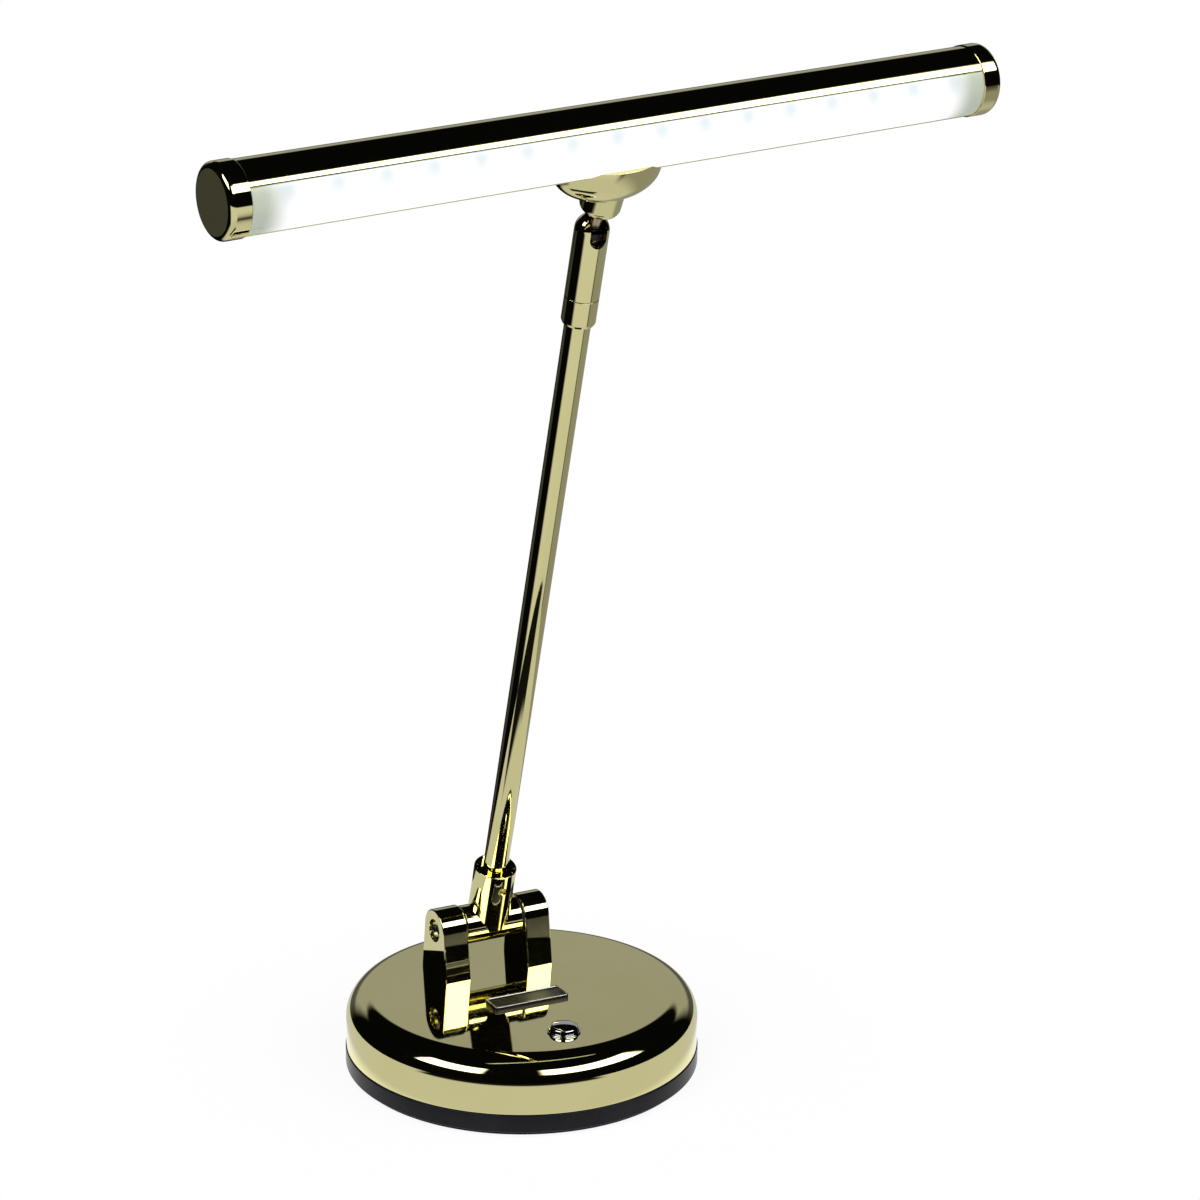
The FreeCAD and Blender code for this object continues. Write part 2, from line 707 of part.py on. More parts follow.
# Ball joint
def make_sleeve():
    """The sleeve over the ball: a round end, a bore with a spherical seat, and the front slot."""
    low = f"{SEAM} + seam_gap"
    skin = cylinder("sleeve_radius", f"{BALL} - ({low})", spot(0, 0, low))
    dome = doc.addObject("Part::Sphere", "dome")
    bind(dome, "Radius", "sleeve_radius")
    dome.Placement = spot(0, 0, BALL)
    inside = cylinder("ball_radius + running_gap", f"{BALL} - ({low}) + 1", spot(0, 0, f"{low} - 1"))
    hollow = doc.addObject("Part::Sphere", "hollow")
    bind(hollow, "Radius", "ball_radius + running_gap")
    hollow.Placement = spot(0, 0, BALL)
    mouth = cylinder("slot_width / 2", "2 * sleeve_radius", spot(0, 0, BALL))
    round_end = cylinder("slot_width / 2", "2 * sleeve_radius",
                         spot(0, 0, f"{BALL} - slot_below + slot_width / 2", (1, 0, 0), 90))
    slot = block("slot_width", "2 * sleeve_radius", "2 * sleeve_radius",
                 spot(0, "-sleeve_radius", f"{BALL} - slot_below + slot_width / 2"))
    sleeve = less(joined([skin, dome]), [joined([inside, hollow]), joined([mouth, round_end, slot])])
    return keep(sleeve, "ball_sleeve", ARM)


def make_seat():
    """The cup that bears on the ball from below."""
    low = f"{BALL} - ball_radius - seat_height + seat_below + 2"
    cup = cylinder("ball_radius", f"{BALL} - seat_below - ({low})", spot(0, 0, low))
    hollow = doc.addObject("Part::Sphere", "hollow")
    bind(hollow, "Radius", "ball_radius + running_gap")
    hollow.Placement = spot(0, 0, BALL)
    bore = cylinder("lead_hole", "seat_height", spot(0, 0, low))
    cut = block("slot_width", "2 * ball_radius", "slot_below",
                spot(0, "-ball_radius", f"{BALL} - slot_below"))
    return keep(less(cup, [hollow, bore, cut]), "ball_seat", ARM)


def make_spring_discs():
    """A stack of conical spring discs that presses the cup against the ball."""
    top = f"{BALL} - ball_radius - seat_height + seat_below + 2"
    discs = []
    for index in range(int(value("disc_count"))):
        low = f"{top} - {index + 1} * (disc_thick + fit_gap)"
        disc = cylinder("ball_radius - fit_gap", "disc_thick", spot(0, 0, low))
        hollow = cone("lead_hole + disc_cone", "lead_hole", "disc_thick", spot(0, 0, low))
        discs.append(less(disc, [hollow]))
    return keep(group(discs), "spring_discs", ARM)


def make_plug():
    """The threaded ring that loads the spring discs."""
    top = f"{BALL} - ball_radius - seat_height + seat_below + 2 - disc_count * (disc_thick + fit_gap)"
    low = f"{top} - fit_gap - plug_height"
    ring = cylinder("ball_radius", "plug_height", spot(0, 0, low))
    bore = cylinder("lead_hole", "3 * plug_height", spot(0, 0, f"{low} - plug_height"))
    return keep(less(ring, [bore]), "joint_plug", ARM)


def make_stud():
    """The ball, its shank and the collar that the head turns under."""
    ball = doc.addObject("Part::Sphere", "ball")
    bind(ball, "Radius", "ball_radius")
    shank = cylinder("stud_radius", "stud_length")
    collar = cylinder("stud_collar", "stud_collar_height",
                      spot(0, 0, "stud_length - stud_collar_height"))
    return keep(joined([ball, shank, collar]), "ball_stud", STUD)


# Head, heights from the light bar's axis
NECK_LOW = "-bar_lift + sleeve_radius + neck_gap"
NECK_TOP = "-saucer_top - saucer_depth"
CHAMBER_LOW = "-bar_lift + stud_length - stud_collar_height - running_gap"


def make_neck():
    bore = "stud_radius + running_gap"
    chamber = "stud_collar + running_gap"
    body = turned("head_neck", [
        (bore, NECK_LOW), ("neck_radius", NECK_LOW), ("neck_radius", NECK_TOP),
        ("neck_spigot", NECK_TOP), ("neck_spigot", f"{NECK_TOP} + neck_spigot_height"),
        (chamber, f"{NECK_TOP} + neck_spigot_height"), (chamber, CHAMBER_LOW), (bore, CHAMBER_LOW)])
    rounded(body, ring_test("neck_radius", NECK_LOW), "neck_round")
    return keep(body, "head_neck", HEAD)


def bar_round(radius, length, angle=None, start=0, grow=0):
    """A round along the light bar, from its left end."""
    place = spot(f"-({length}) / 2", 0, grow, (0, 1, 0), 90)
    turn = FreeCAD.Placement(FreeCAD.Vector(), FreeCAD.Rotation(FreeCAD.Vector(0, 0, 1), value(start)))
    return cylinder(radius, length, place.multiply(turn), angle)


def make_saucer():
    """The dish under the bar: a thin round rim, a shallow underside and a saddle for the bar."""
    low = "-saucer_top - saucer_depth"
    body = turned("saucer_blank", [
        (0, low), ("saucer_waist", low),
        ("saucer_radius - saucer_rim / 2", "-saucer_top - saucer_rim"),
        ("saucer_radius", "-saucer_top - saucer_rim / 2"), ("saucer_radius", "-saucer_top"),
        (0, "-saucer_top")])
    saddle = bar_round("bar_radius + running_gap", "4 * saucer_radius")
    hole = cylinder("neck_spigot + running_gap", "neck_spigot_height + 1",
                    spot(0, 0, "-saucer_top - saucer_depth - 1 + running_gap"))
    lead = cylinder("lead_hole", "2 * saucer_depth", spot(0, 0, f"{low} + 1"))
    holes = [saddle, hole, lead]
    for side in (-1, 1):
        holes.append(cylinder("thread_hole", "saucer_depth",
                              spot(f"{side} * saucer_screw_span / 2", 0, "-saucer_top - 2")))
    return keep(less(body, holes), "head_saucer", HEAD)


def make_saucer_screws():
    screws = []
    for side in (-1, 1):
        across = f"{side} * saucer_screw_span / 2"
        seat = "-(bar_radius - bar_wall) + 3 * fit_gap"
        head = cylinder("screw_head", "screw_head_height", spot(across, 0, seat))
        shank = cylinder("thread_hole", f"{seat} + saucer_top + 3",
                         spot(across, 0, "-saucer_top - 2"))
        screws.append(joined([head, shank]))
    return keep(group(screws), "saucer_screws", HEAD)


def make_housing():
    """The round profile of the bar, open along its front for the diffuser."""
    start = "-90 - window_centre + window_half"
    skin = bar_round("bar_radius", BAR_LENGTH, "360 - 2 * window_half", start)
    hollow = bar_round("bar_radius - bar_wall", f"{BAR_LENGTH} + 2")
    holes = [hollow]
    for side in (-1, 1):
        holes.append(cylinder("thread_hole + running_gap", "4 * bar_wall",
                              spot(f"{side} * saucer_screw_span / 2", 0, "-bar_radius - bar_wall")))
    holes.append(cylinder("lead_hole", "4 * bar_wall", spot(0, 0, "-bar_radius - bar_wall")))
    return keep(less(skin, holes), "lamp_housing", HEAD)


def make_diffuser():
    start = "-90 - window_centre - window_half + diffuser_gap"
    skin = bar_round("bar_radius - diffuser_inset", f"{BAR_LENGTH}",
                     "2 * window_half - 2 * diffuser_gap", start)
    hollow = bar_round("bar_radius - diffuser_inset - diffuser_wall", f"{BAR_LENGTH} + 2")
    return keep(less(skin, [hollow]), "diffuser", HEAD)


def facing(height_rule, along_rule=0):
    """A placement that looks out of the window, at a height above the bar's axis."""
    turn = FreeCAD.Placement(FreeCAD.Vector(value(along_rule), 0, 0),
                             FreeCAD.Rotation(FreeCAD.Vector(1, 0, 0), 90 + value("-window_centre")))
    return turn.multiply(spot(0, 0, height_rule))


def make_rail():
    """The flat bar across the profile that carries the light strip."""
    length = f"{BAR_LENGTH} - 2 * cap_plug - 1"
    return keep(block(length, "rail_width", "rail_thick", facing("rail_offset")), "led_rail", HEAD)


def make_strip():
    length = f"{BAR_LENGTH} - 2 * cap_plug - 2"
    place = facing("rail_offset + rail_thick")
    return keep(block(length, "board_strip_width", "board_strip_thick", place), "led_strip", HEAD)


def make_leds():
    chips = []
    count = int(value("led_count"))
    for index in range(count):
        along = f"({index} - (led_count - 1) / 2) * led_pitch"
        place = facing("rail_offset + rail_thick + board_strip_thick", along)
        chips.append(block("led_side", "led_side", "led_thick", place))
    return keep(group(chips), "led_chips", HEAD)


def make_cap(side, label):
    """A turned end cap: a rounded flat end and a hollow plug that fits the profile."""
    inner = "bar_radius - diffuser_inset - diffuser_wall - fit_gap"
    body = turned(label, [
        (0, "cap_length - cap_wall"), (f"{inner} - cap_wall", "cap_length - cap_wall"),
        (f"{inner} - cap_wall", "-cap_plug"), (inner, "-cap_plug"), (inner, "running_gap"),
        ("cap_radius", "running_gap"), ("cap_radius", "cap_length"), (0, "cap_length")])
    rounded(body, ring_test("cap_radius", "cap_length"), "cap_round")
    body.Placement = spot(f"{side} * ({BAR_LENGTH}) / 2", 0, 0, (0, 1, 0), 90 * side)
    return keep(body, label, HEAD)


make_foot_pad()
make_base_tray()
make_base_weight()
make_tray_screws()
make_base_shell()
make_badge()
make_bezel()
make_button()
make_control_board()
make_board_screws()
make_switch()
make_inlet()
make_cheek(-1, "cheek_left")
make_cheek(1, "cheek_right")
make_cheek_screws()
make_pivot_screw(-1, "pivot_screw_left")
make_pivot_screw(1, "pivot_screw_right")
make_washer(-1, "friction_washer_left")
make_washer(1, "friction_washer_right")
make_arm_socket()
make_grub_screw()
make_arm_tube()
make_collar()
make_arm_lead()
make_sleeve()
make_seat()
make_spring_discs()
make_plug()
make_stud()
make_neck()
make_saucer()
make_saucer_screws()
make_housing()
make_diffuser()
make_rail()
make_strip()
make_leds()
make_cap(-1, "end_cap_left")
make_cap(1, "end_cap_right")

doc.recompute()
for thing in doc.Objects:
    if "Invalid" in thing.State or "Error" in thing.State:
        raise RuntimeError(f"{thing.Label} failed: {thing.State}")
for thing in subparts:
    if thing.Shape.isNull() or not thing.Shape.isValid():
        raise RuntimeError(f"{thing.Label} has no sound shape")

os.makedirs("parts", exist_ok=True)
for thing in subparts:
    thing.Shape.exportStep(f"parts/{thing.Label}.step")
print("sub-parts written:", len(subparts))
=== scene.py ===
import json
import math

import bpy
import numpy as np
from bpy.props import FloatProperty, FloatVectorProperty, IntProperty, PointerProperty
from mathutils import Matrix


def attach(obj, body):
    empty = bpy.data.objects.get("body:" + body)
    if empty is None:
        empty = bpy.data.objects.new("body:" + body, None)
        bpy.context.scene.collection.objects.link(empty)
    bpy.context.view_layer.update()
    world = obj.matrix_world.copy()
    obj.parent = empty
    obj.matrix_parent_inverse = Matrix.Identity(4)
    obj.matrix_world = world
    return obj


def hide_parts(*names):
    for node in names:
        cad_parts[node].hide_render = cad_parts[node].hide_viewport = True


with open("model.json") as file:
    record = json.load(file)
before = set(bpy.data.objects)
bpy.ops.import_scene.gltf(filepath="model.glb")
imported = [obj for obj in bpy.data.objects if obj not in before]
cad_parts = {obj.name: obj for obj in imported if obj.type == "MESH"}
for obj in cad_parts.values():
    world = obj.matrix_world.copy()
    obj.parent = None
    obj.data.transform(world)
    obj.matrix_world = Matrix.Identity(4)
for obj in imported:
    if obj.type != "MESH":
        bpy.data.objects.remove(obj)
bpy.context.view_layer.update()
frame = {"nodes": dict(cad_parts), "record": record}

bl_info = {
    "name": "Piano lamp",
    "version": (1, 0, 0),
    "blender": (4, 5, 0),
    "location": "3D View > Sidebar > Lamp",
    "description": "Builds the surfaces, materials and studio of a brass piano lamp",
    "category": "Object",
}

MM = 0.001


# Settings
def length(number, description):
    """A size in metres, given in millimetres."""
    return FloatProperty(description=description, default=number * MM, unit="LENGTH", precision=5)


def angle(degrees, description):
    """An angle in radians, given in degrees."""
    return FloatProperty(description=description, default=math.radians(degrees), subtype="ANGLE")


class BaseSizes(bpy.types.PropertyGroup):
    radius: length(65.0, "Radius of the polished shell")
    roll: length(9.5, "Radius of the shell's upper edge")
    top: length(28.7, "Height of the flat top")
    seam: length(8.4, "Height where the shell meets the tray")
    wall: length(2.0, "Thickness of the shell")
    tray_radius: length(65.3, "Radius of the dark tray")
    tray_low: length(1.6, "Height of the tray's underside")
    foot_radius: length(63.4, "Radius of the rubber foot")
    inlet_rise: length(14.4, "Height of the supply socket")
    inlet_radius: length(4.15, "Radius of the socket's opening")
    badge_side: length(-3.1, "Badge centre across the base")
    badge_front: length(10.1, "Badge centre towards the front")
    badge_turn: angle(-1.7, "Turn of the badge on the top")
    badge_length: length(29.8, "Length of the badge")
    badge_depth: length(9.4, "Depth of the badge")
    badge_thick: length(1.5, "Height of the badge's rim")
    badge_rim: length(0.8, "Width of the badge's rim")
    badge_sink: length(0.4, "Depth of the field below the rim")
    button_side: length(-3.9, "Button centre across the base")
    button_front: length(40.7, "Button centre towards the front")
    button_radius: length(5.3, "Radius of the domed button")
    button_proud: length(3.0, "Height of the button over the top")
    button_low: length(4.0, "Depth of the button's skirt under the top")
    bezel_radius: length(6.25, "Outer radius of the ring round the button")
    bezel_height: length(0.5, "Height of the ring round the button")
    button_gap: length(0.25, "Gap between the button and its hole")
    button_post: length(2.2, "Radius of the post under the button")
    flange: length(1.5, "Reach of the button's flange past its radius")
    flange_top: length(2.4, "Depth of the flange's upper face under the top")
    tray_gap: length(0.15, "Gap between the shell and the tray's lip")
    tray_lip: length(1.2, "Height of the tray's lip over the seam")
    tray_wall: length(2.0, "Thickness of the tray")
    columns: IntProperty(description="Steps round the base", default=288, min=48)


class HingeSizes(bpy.types.PropertyGroup):
    side: length(-1.2, "Hinge centre across the base")
    back: length(26.2, "Hinge line behind the middle")
    rise: length(17.8, "Hinge line over the base's top")
    gap: length(24.0, "Space between the cheeks")
    thick: length(10.1, "Thickness of a cheek")
    round_head: length(8.0, "Radius of a cheek's round head")
    foot: length(10.3, "Half depth of a cheek at its foot")
    edge: length(0.45, "Rounding of the cheeks' edges")
    recess: length(4.25, "Radius of the screw's recess")
    recess_depth: length(5.0, "Depth of the screw's recess")
    bore: length(3.05, "Radius of the bore for the pin")
    barrel: length(7.3, "Radius of the knuckle's barrel")
    barrel_half: length(11.35, "Half length of the barrel")
    stem: length(7.9, "Radius of the knuckle's stem")
    stem_length: length(25.0, "Stem end from the hinge line")
    mouth: length(6.6, "Radius of the recess in the stem's end")
    mouth_depth: length(2.4, "Depth of the recess in the stem's end")
    socket: length(9.0, "Floor of the arm's socket from the hinge line")
    grub: length(1.75, "Radius of the set screw's hole")
    grub_rise: length(18.5, "Set screw from the hinge line")


class ArmSizes(bpy.types.PropertyGroup):
    lean: angle(15.7, "Lean of the arm towards the front")
    reach: length(286.8, "Hinge line to the ball's centre")
    radius: length(4.6, "Radius of the arm")
    sleeve: length(6.0, "Radius of the collar and the sleeve")
    bore: length(4.35, "Radius of the sleeve's bore")
    collar: length(33.7, "Collar's lower end under the ball")
    seam: length(23.7, "Seam of collar and sleeve under the ball")
    dome: length(1.2, "Middle of the sleeve's round end over the ball's centre")
    slot: length(6.2, "Width of the slot in the sleeve")
    slot_below: length(3.3, "Slot's round end under the ball's centre")
    ball: length(4.3, "Radius of the ball")
    shank: length(2.5, "Radius of the stud's shank")
    shank_top: length(17.9, "Shank's end over the ball's centre")
    gap: length(0.05, "Gap between pieces that sit in each other")
    foot: length(9.1, "Arm's lower end from the hinge line")
    hold: length(2.9, "Length of the arm inside the collar")
    spigot: length(7.0, "Length of the collar's spigot inside the sleeve")
    lead: length(2.2, "Radius of the bore for the lead")
    columns: IntProperty(description="Steps round the arm", default=96, min=24)


class HeadSizes(bpy.types.PropertyGroup):
    tilt: angle(13.1, "Further tilt of the head at the ball")
    yaw: angle(5.3, "Turn of the bar on the neck")
    lift: length(40.6, "Ball's centre to the bar's axis")
    bar: length(12.1, "Radius of the bar's profile")
    bar_wall: length(1.2, "Wall of the bar's profile")
    half: length(141.2, "Half length of the profile")
    window: angle(6.8, "Middle of the window above straight ahead")
    window_half: angle(48.0, "Half angle of the window")
    diffuser_gap: angle(1.6, "Gap between profile and diffuser")
    inset: length(0.2, "Diffuser's surface under the profile's")
    diffuser_wall: length(1.3, "Thickness of the diffuser")
    cap: length(12.5, "Radius of the end caps")
    cap_length: length(7.8, "Length of the end caps")
    cap_round: length(2.2, "Rounding of the end caps")
    plug: length(4.0, "Length of the caps' plugs inside the bar")
    plug_gap: length(0.15, "Gap between a plug and the diffuser")
    neck: length(7.1, "Radius of the neck")
    neck_low: length(30.9, "Neck's lower end under the bar's axis")
    neck_round: length(3.0, "Rounding of the neck's lower edge")
    neck_top: length(15.9, "Neck's upper end under the bar's axis")
    bowl_along: length(20.2, "Half length of the bowl along the bar")
    bowl_across: length(12.0, "Half width of the bowl across the bar")
    bowl_depth: length(10.8, "Depth of the bowl under its widest level")
    bowl_widest: length(12.5, "Widest level of the bowl under the bar's axis")
    bowl_wall: length(6.9, "Upright wall of the bowl over its widest level")
    bowl_shift: length(-1.9, "Bowl's middle along the bar")
    led_pitch: length(17.1, "Distance from one light to the next")
    led_count: IntProperty(description="Number of lights", default=15, min=1)
    columns: IntProperty(description="Steps round the bar", default=192, min=48)


class StageSettings(bpy.types.PropertyGroup):
    camera: FloatVectorProperty(description="Place of the camera", size=3, subtype="TRANSLATION",
                                default=(-0.56218, -1.09538, 0.57084))
    azimuth: angle(-28.447, "Direction that the camera stands in")
    elevation: angle(17.629, "Angle that the camera looks down at")
    roll: angle(0.548, "Roll of the camera")
    lens: FloatProperty(description="Focal length in millimetres on 36 mm", default=108.495, min=10.0)
    floor: length(200.0, "Radius of the floor")
    glow: FloatProperty(description="Strength of the lit diffuser", default=1.0, min=0.0)


# Placing
def place(origin=(0.0, 0.0, 0.0), axis="X", turn=0.0):
    """A frame as a 4 by 4 array: a turn about one axis, then a move."""
    matrix = np.array(Matrix.Rotation(turn, 4, axis))
    matrix[:3, 3] = origin
    return matrix


def moved(matrix, points):
    """Points carried into a frame."""
    return points @ matrix[:3, :3].T + matrix[:3, 3]


def hinge_frame():
    """The frame of the hinge line, whose first direction runs along it."""
    sizes = bpy.context.scene.lamp_hinge
    top = bpy.context.scene.lamp_base.top
    return place((sizes.side, sizes.back, top + sizes.rise))


def arm_frame():
    """The frame that leans with the arm, from the hinge line up."""
    return hinge_frame() @ place(turn=bpy.context.scene.lamp_arm.lean)


def stud_frame():
    """The frame of the ball stud, with the ball's centre as its middle."""
    return arm_frame() @ place((0, 0, bpy.context.scene.lamp_arm.reach)) @ place(
        turn=bpy.context.scene.lamp_head.tilt)


def head_frame():
    """The frame of the head, whose first direction is the bar's axis."""
    sizes = bpy.context.scene.lamp_head
    return stud_frame() @ place((0, 0, sizes.lift), "Z", sizes.yaw)


# Surfaces
def path(corners, steps=8):
    """A line through corners given as across, up and rounding. A rounded corner is the arc that
    touches both of its runs, with one more point on each run close to the arc."""
    support = 0.12 * MM
    corners = [(*corner, 0.0)[:3] for corner in corners]
    points = [np.array([corners[0][:2]])]
    for before, here, after in zip(corners, corners[1:], corners[2:]):
        middle = np.array(here[:2])
        back = np.array(before[:2]) - middle
        ahead = np.array(after[:2]) - middle
        back = back / np.linalg.norm(back)
        ahead = ahead / np.linalg.norm(ahead)
        if here[2] <= 0:
            points.append(middle[None])
            continue
        half = math.acos(np.clip(back @ ahead, -1, 1)) / 2
        reach = here[2] / math.tan(half)
        bisector = (back + ahead) / np.linalg.norm(back + ahead)
        centre = middle + bisector * here[2] / math.sin(half)
        start = middle + back * reach - centre
        finish = middle + ahead * reach - centre
        share = np.linspace(0, 1, steps + 1)[:, None]
        sweep = math.pi - 2 * half
        arc = (np.sin((1 - share) * sweep) * start + np.sin(share * sweep) * finish) / math.sin(sweep)
        points.append((start + centre + back * support)[None])
        points.append(arc + centre)
        points.append((finish + centre + ahead * support)[None])
    points.append(np.array([corners[-1][:2]]))
    return np.concatenate(points)


def turned(profile, columns):
    """A surface of revolution: across times the cosine and sine of the turn, and up."""
    turns = np.linspace(0, 2 * math.pi, columns, endpoint=False)
    across = profile[:, :1]
    up = np.broadcast_to(profile[:, 1:], (len(profile), columns))
    return np.stack([across * np.cos(turns), across * np.sin(turns), up], axis=-1)


def woven(grid, close_rows=False):
    """Vertices and faces of a grid of points whose last column meets the first. Rows that shrink
    to one point become a pole."""
    rows, columns = grid.shape[:2]
    ids = np.arange(rows * columns).reshape(rows, columns)
    poles = np.ptp(grid, axis=1).max(axis=1) < 1e-9
    ids[poles] = ids[poles, :1]
    ids = np.concatenate([ids, ids[:, :1]], axis=1)
    if close_rows:
        ids = np.concatenate([ids, ids[:1]], axis=0)
    quads = np.stack([ids[:-1, :-1], ids[1:, :-1], ids[1:, 1:], ids[:-1, 1:]], axis=-1).reshape(-1, 4)
    first = quads[:, 0] == quads[:, 3]
    last = quads[:, 1] == quads[:, 2]
    triangles = np.concatenate([quads[first & ~last][:, [0, 1, 2]], quads[last & ~first][:, [0, 1, 3]]])
    quads = quads[~first & ~last]
    used, fresh = np.unique(np.concatenate([quads.ravel(), triangles.ravel()]), return_inverse=True)
    quads = fresh[:quads.size].reshape(-1, 4)
    triangles = fresh[fresh.size - triangles.size:].reshape(-1, 3)
    return grid.reshape(-1, 3)[used], quads, triangles


def outward(vertices, quads, triangles):
    """Turns every face over if the enclosed volume comes out negative."""
    split = np.concatenate([quads[:, [0, 1, 2]], quads[:, [0, 2, 3]], triangles])
    local = vertices - vertices.mean(axis=0)
    a, b, c = (local[split[:, k]] for k in range(3))
    if np.einsum("ij,ij->i", a, np.cross(b, c)).sum() < 0:
        quads = quads[:, ::-1]
        triangles = triangles[:, ::-1]
    return vertices, quads, triangles


def solid(name, surface, crease=35.0):
    """One object from a closed grid, smooth but for edges sharper than the crease in degrees."""
    points, quads, triangles = outward(*surface)
    mesh = bpy.data.meshes.new(name)
    mesh.from_pydata(points.tolist(), [], quads.tolist() + triangles.tolist())
    mesh.update()
    thing = bpy.data.objects.new(name, mesh)
    bpy.context.scene.collection.objects.link(thing)
    shade(mesh, crease)
    return thing


def shade(mesh, crease):
    """Smooth faces with sharp edges where they meet at more than the crease in degrees."""
    mesh.shade_smooth()
    mesh.set_sharp_from_angle(angle=math.radians(crease))


def carved(thing, cutters, crease=35.0):
    """The object less the cutters, which are taken away."""
    for cutter in cutters:
        change = thing.modifiers.new("cut", "BOOLEAN")
        change.operation = "DIFFERENCE"
        change.solver = "EXACT"
        change.object = cutter
    bpy.context.view_layer.update()
    ready = thing.evaluated_get(bpy.context.evaluated_depsgraph_get())
    mesh = bpy.data.meshes.new_from_object(ready)
    thing.modifiers.clear()
    old = thing.data
    thing.data = mesh
    mesh.name = thing.name
    bpy.data.meshes.remove(old)
    for cutter in cutters:
        used = cutter.data
        bpy.data.objects.remove(cutter)
        bpy.data.meshes.remove(used)
    shade(mesh, crease)
    return thing


def lathe(name, profile, columns, matrix=np.identity(4), ring=False):
    """One piece turned from a profile about a frame's upward direction; a ring's profile closes on
    itself and leaves the middle open."""
    return solid(name, woven(moved(matrix, turned(profile, columns)), close_rows=ring))


def rod(name, matrix, radius, low, high, columns=64):
    """A plain round cutter along the frame's own upward direction."""
    profile = np.array([(0, low), (radius, low), (radius, high), (0, high)])
    return lathe(name, profile, columns, matrix)


def finished(thing, slot, body, *nodes):
    """Gives a piece its material, body and the CAD nodes that it stands for."""
    thing.data.materials.clear()
    thing.data.materials.append(MATERIALS[slot])
    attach(thing, body)
    for node in nodes:
        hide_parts(node)
    return thing


# Shader maths
class Sum:
    """A value in a node tree. The usual signs make Math nodes for it."""

    def __init__(self, shader, socket):
        self.shader = shader
        self.socket = socket

    def math(self, operation, *others, clamp=False):
        inputs = dict(enumerate((self, *others)))
        return self.shader.node("ShaderNodeMath", {"operation": operation, "use_clamp": clamp}, inputs)

    def __add__(self, other):
        return self.math("ADD", other)

    def __radd__(self, other):
        return self + other

    def __sub__(self, other):
        return self.math("SUBTRACT", other)

    def __rsub__(self, other):
        return (self * -1) + other

    def __mul__(self, other):
        return self.math("MULTIPLY", other)

    def __rmul__(self, other):
        return self * other

    def __abs__(self):
        return self.math("ABSOLUTE")

    def __pow__(self, other):
        return self.math("POWER", other)

    def wave(self):
        """The cosine of a value in radians."""
        return self.math("COSINE")

    def smooth(self, low, high):
        """Nought under low, one over high, and a soft step between them."""
        settings = {"interpolation_type": "SMOOTHSTEP"}
        inputs = {"Value": self, "From Min": low, "From Max": high}
        return self.shader.node("ShaderNodeMapRange", settings, inputs)

    def bump(self, centre, width):
        """One at the centre, falling softly to nought at the width to each side."""
        return 1 - abs(self - centre).smooth(0.0, width)

    def blend(self, low, high):
        """The colour low where this is nought and high where it is one."""
        return self.shader.mixed(self, low, high)


class Shader:
    """Makes nodes for one material or world."""

    def __init__(self, owner):
        owner.use_nodes = True
        self.tree = owner.node_tree
        self.tree.nodes.clear()

    def node(self, kind, settings=None, inputs=None, output=0):
        """One node of any type with its settings and sockets; gives back one of its outputs."""
        node = self.tree.nodes.new(kind)
        for key, setting in (settings or {}).items():
            setattr(node, key, setting)
        for key, source in (inputs or {}).items():
            if isinstance(source, Sum):
                self.tree.links.new(source.socket, node.inputs[key])
            elif isinstance(source, (tuple, list)) and len(source) == 3 and len(
                    node.inputs[key].default_value) == 4:
                node.inputs[key].default_value = (*source, 1.0)
            else:
                node.inputs[key].default_value = source
        return Sum(self, node.outputs[output])

    def point(self, centre=(0, 0, 0), turn=(0, 0, 0)):
        """Object coordinates, centred and turned to suit the piece."""
        start = self.node("ShaderNodeTexCoord", output=3)
        settings = {"vector_type": "TEXTURE"}
        inputs = {"Vector": start, "Location": centre, "Rotation": turn}
        return self.node("ShaderNodeMapping", settings, inputs)

    def mixed(self, factor, low, high, kind="MIX"):
        """Two colours mixed by a factor."""
        settings = {"data_type": "RGBA", "blend_type": kind}
        return self.node("ShaderNodeMix", settings, {"Factor": factor, 6: low, 7: high}, 2)

    def split(self, vector):
        """The three values of a vector."""
        node = self.node("ShaderNodeSeparateXYZ", inputs={0: vector}).socket.node
        return [Sum(self, socket) for socket in node.outputs]

    def stretched(self, vector, factors):
        """The vector multiplied by one factor for each direction."""
        return self.node("ShaderNodeVectorMath", {"operation": "MULTIPLY"}, {0: vector, 1: factors})

    def noise(self, vector, scale, detail=3.0, roughness=0.5):
        inputs = {"Vector": vector, "Scale": scale, "Detail": detail, "Roughness": roughness}
        return self.node("ShaderNodeTexNoise", {}, inputs)

    def relief(self, height, distance, strength=1.0):
        """A bump from a height between nought and one and its depth in metres."""
        inputs = {"Height": height, "Distance": distance, "Strength": strength}
        return self.node("ShaderNodeBump", {}, inputs)

    def surface(self, **sockets):
        """A Principled shader, with its sockets named with _ for each space."""
        inputs = {key.replace("_", " "): source for key, source in sockets.items()}
        return self.node("ShaderNodeBsdfPrincipled", {}, inputs)

    def finish(self, shader, kind="ShaderNodeOutputMaterial"):
        target = self.tree.nodes.new(kind)
        self.tree.links.new(shader.socket, target.inputs["Surface"])


MATERIALS = {}


def material(slot):
    """Starts the material of one slot."""
    MATERIALS[slot] = bpy.data.materials.new(slot)
    return Shader(MATERIALS[slot])


